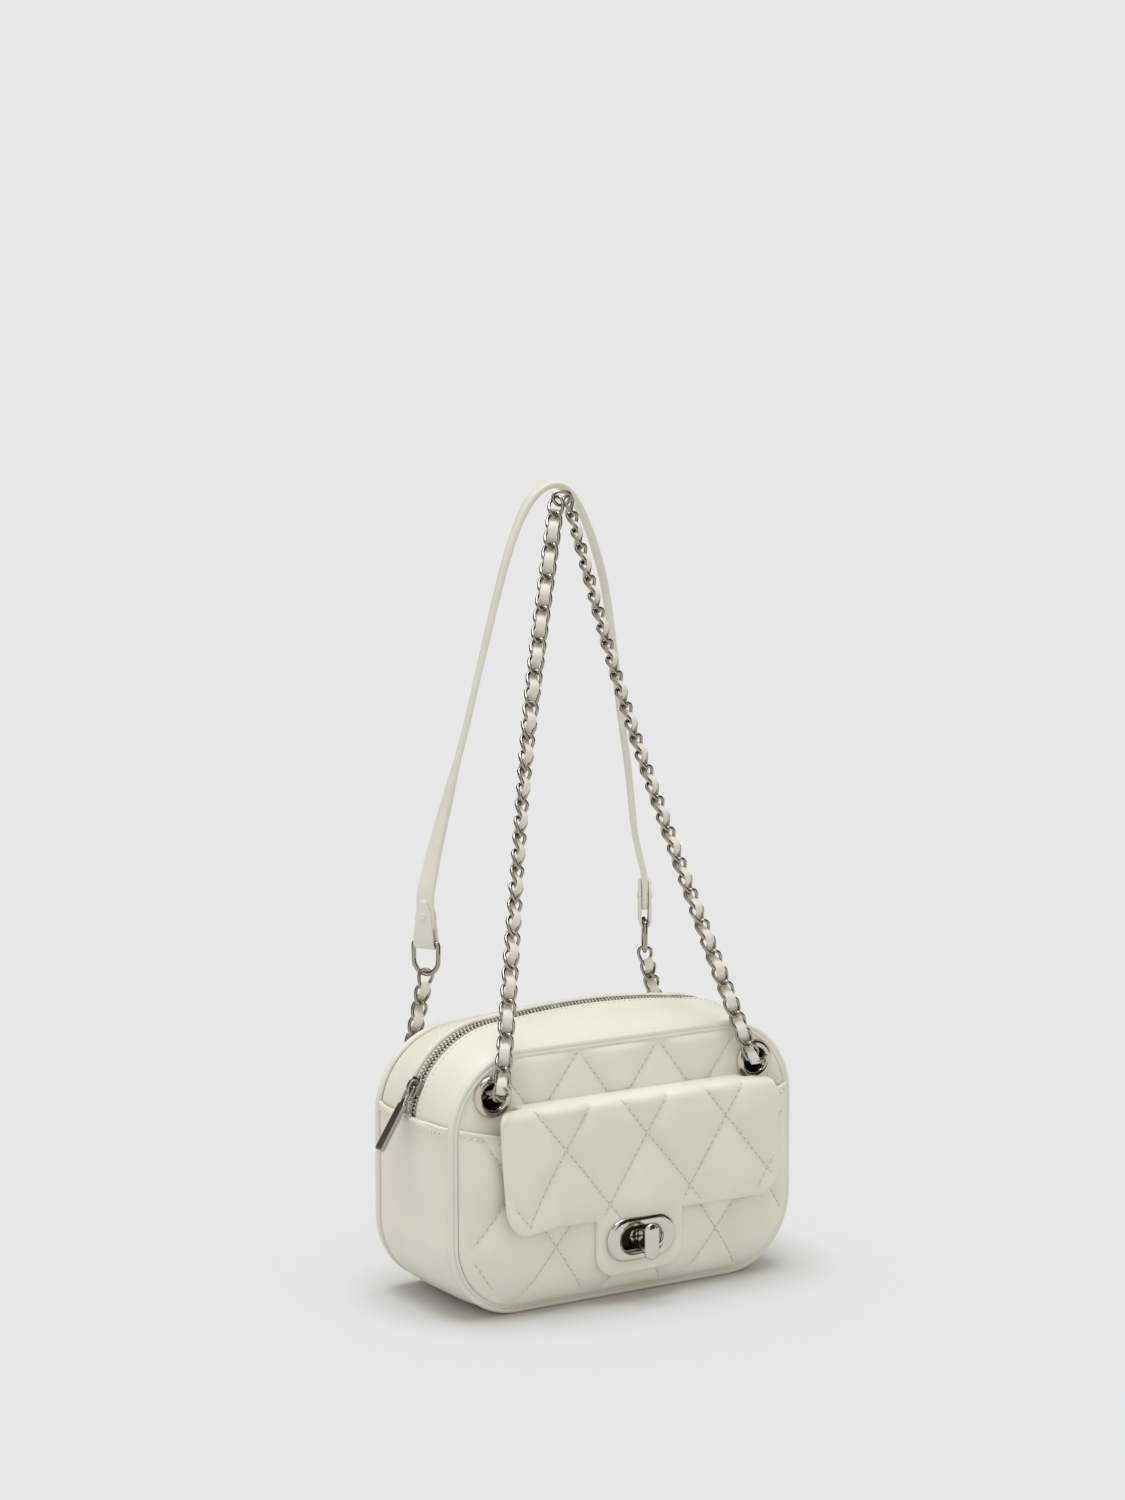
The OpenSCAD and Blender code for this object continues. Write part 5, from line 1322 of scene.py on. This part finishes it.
def build_stage():
    bpy.ops.mesh.primitive_plane_add(size=60)
    floor = bpy.context.object
    floor.name = "floor"
    fall = KEY_DIRECTION[2] / sqrt(sum(c * c for c in KEY_DIRECTION)) * KEY_STRENGTH / pi
    paper = [BACKGROUND[k] / (WORLD_LIGHT * WORLD_TINT[k] + fall * KEY_TINT[k]) for k in range(3)]
    floor.data.materials.append(matt("floor_paper", (*paper, 1.0), Specular_IOR_Level=0.0))

    world = bpy.data.worlds.new("studio")
    bpy.context.scene.world = world
    world.use_nodes = True
    tree = world.node_tree
    light = tree.nodes["Background"]
    light.inputs["Color"].default_value = (*WORLD_TINT, 1.0)
    light.inputs["Strength"].default_value = WORLD_LIGHT
    seen = add(tree, "ShaderNodeBackground", Color=BACKGROUND)
    rays = add(tree, "ShaderNodeLightPath").outputs
    shown = rays["Is Camera Ray"]
    for name in ("Is Glossy Ray", "Is Transmission Ray"):
        shown = add(tree, "ShaderNodeMath", {0: shown, 1: rays[name]}, operation="MAXIMUM").outputs["Value"]
    mix = add(tree, "ShaderNodeMixShader",
              {"Fac": shown, 1: light.outputs["Background"], 2: seen.outputs["Background"]})
    tree.links.new(mix.outputs["Shader"], tree.nodes["World Output"].inputs["Surface"])

    lamp = bpy.data.lights.new("key", "SUN")
    lamp.energy = KEY_STRENGTH
    lamp.angle = radians(KEY_SPREAD)
    lamp.color = KEY_TINT
    key = bpy.data.objects.new("key", lamp)
    key.rotation_euler = Vector(KEY_DIRECTION).to_track_quat("Z", "Y").to_euler()
    bpy.context.scene.collection.objects.link(key)

    black = matt("card_black", (0.012, 0.01, 0.008, 1))
    for k, (azimuth, height, width, tall) in enumerate(CARDS):
        a = radians(azimuth)
        place = Vector((CARD_FAR * cos(a), CARD_FAR * sin(a), height))
        bpy.ops.mesh.primitive_plane_add(size=1, location=place)
        card = bpy.context.object
        card.name = f"card_{k}"
        card.rotation_euler = (place - Vector((0, 0, CARD_AIM * height))).to_track_quat("Z", "Y").to_euler()
        card.scale = (width, tall, 1)
        card.data.materials.append(black)
        for ray in ("camera", "diffuse", "shadow", "transmission", "volume_scatter"):
            setattr(card, f"visible_{ray}", False)


VIEW_AZIMUTH, VIEW_ELEVATION, VIEW_DISTANCE = 32.5, 14.2, 1888.9
VIEW_TARGET_Z = 73.0
VIEW_TURN, VIEW_PITCH = 0.388, 6.66
LENS = 81.6


def build_camera():
    az, el = radians(VIEW_AZIMUTH), radians(VIEW_ELEVATION)
    target = Vector((0, 0, VIEW_TARGET_Z))
    place = target + VIEW_DISTANCE * Vector((-sin(az) * cos(el), -cos(az) * cos(el), sin(el)))
    ahead = (target - place).normalized()
    right = Vector((cos(az), -sin(az), 0))
    turn = Matrix.Rotation(radians(VIEW_TURN), 3, "Z")
    ahead, right = turn @ ahead, turn @ right
    ahead = Matrix.Rotation(radians(VIEW_PITCH), 3, right) @ ahead
    up = right.cross(ahead)
    data = bpy.data.cameras.new("camera")
    data.lens = LENS
    data.sensor_width = 36.0
    data.clip_end = 100
    camera = bpy.data.objects.new("camera", data)
    basis = Matrix((right, up, -ahead)).transposed().to_4x4()
    camera.matrix_world = Matrix.Translation(place * MM + Vector(MIDDLE)) @ basis
    bpy.context.scene.collection.objects.link(camera)
    bpy.context.scene.camera = camera


for build in (build_camera, build_stage, build_panels, build_pocket, build_flap, build_gussets, build_piping,
              build_inside, build_zip, build_slider, build_lock, build_eyelets, build_chains, build_strap):
    build()

bpy.context.scene.view_settings.view_transform = "Standard"
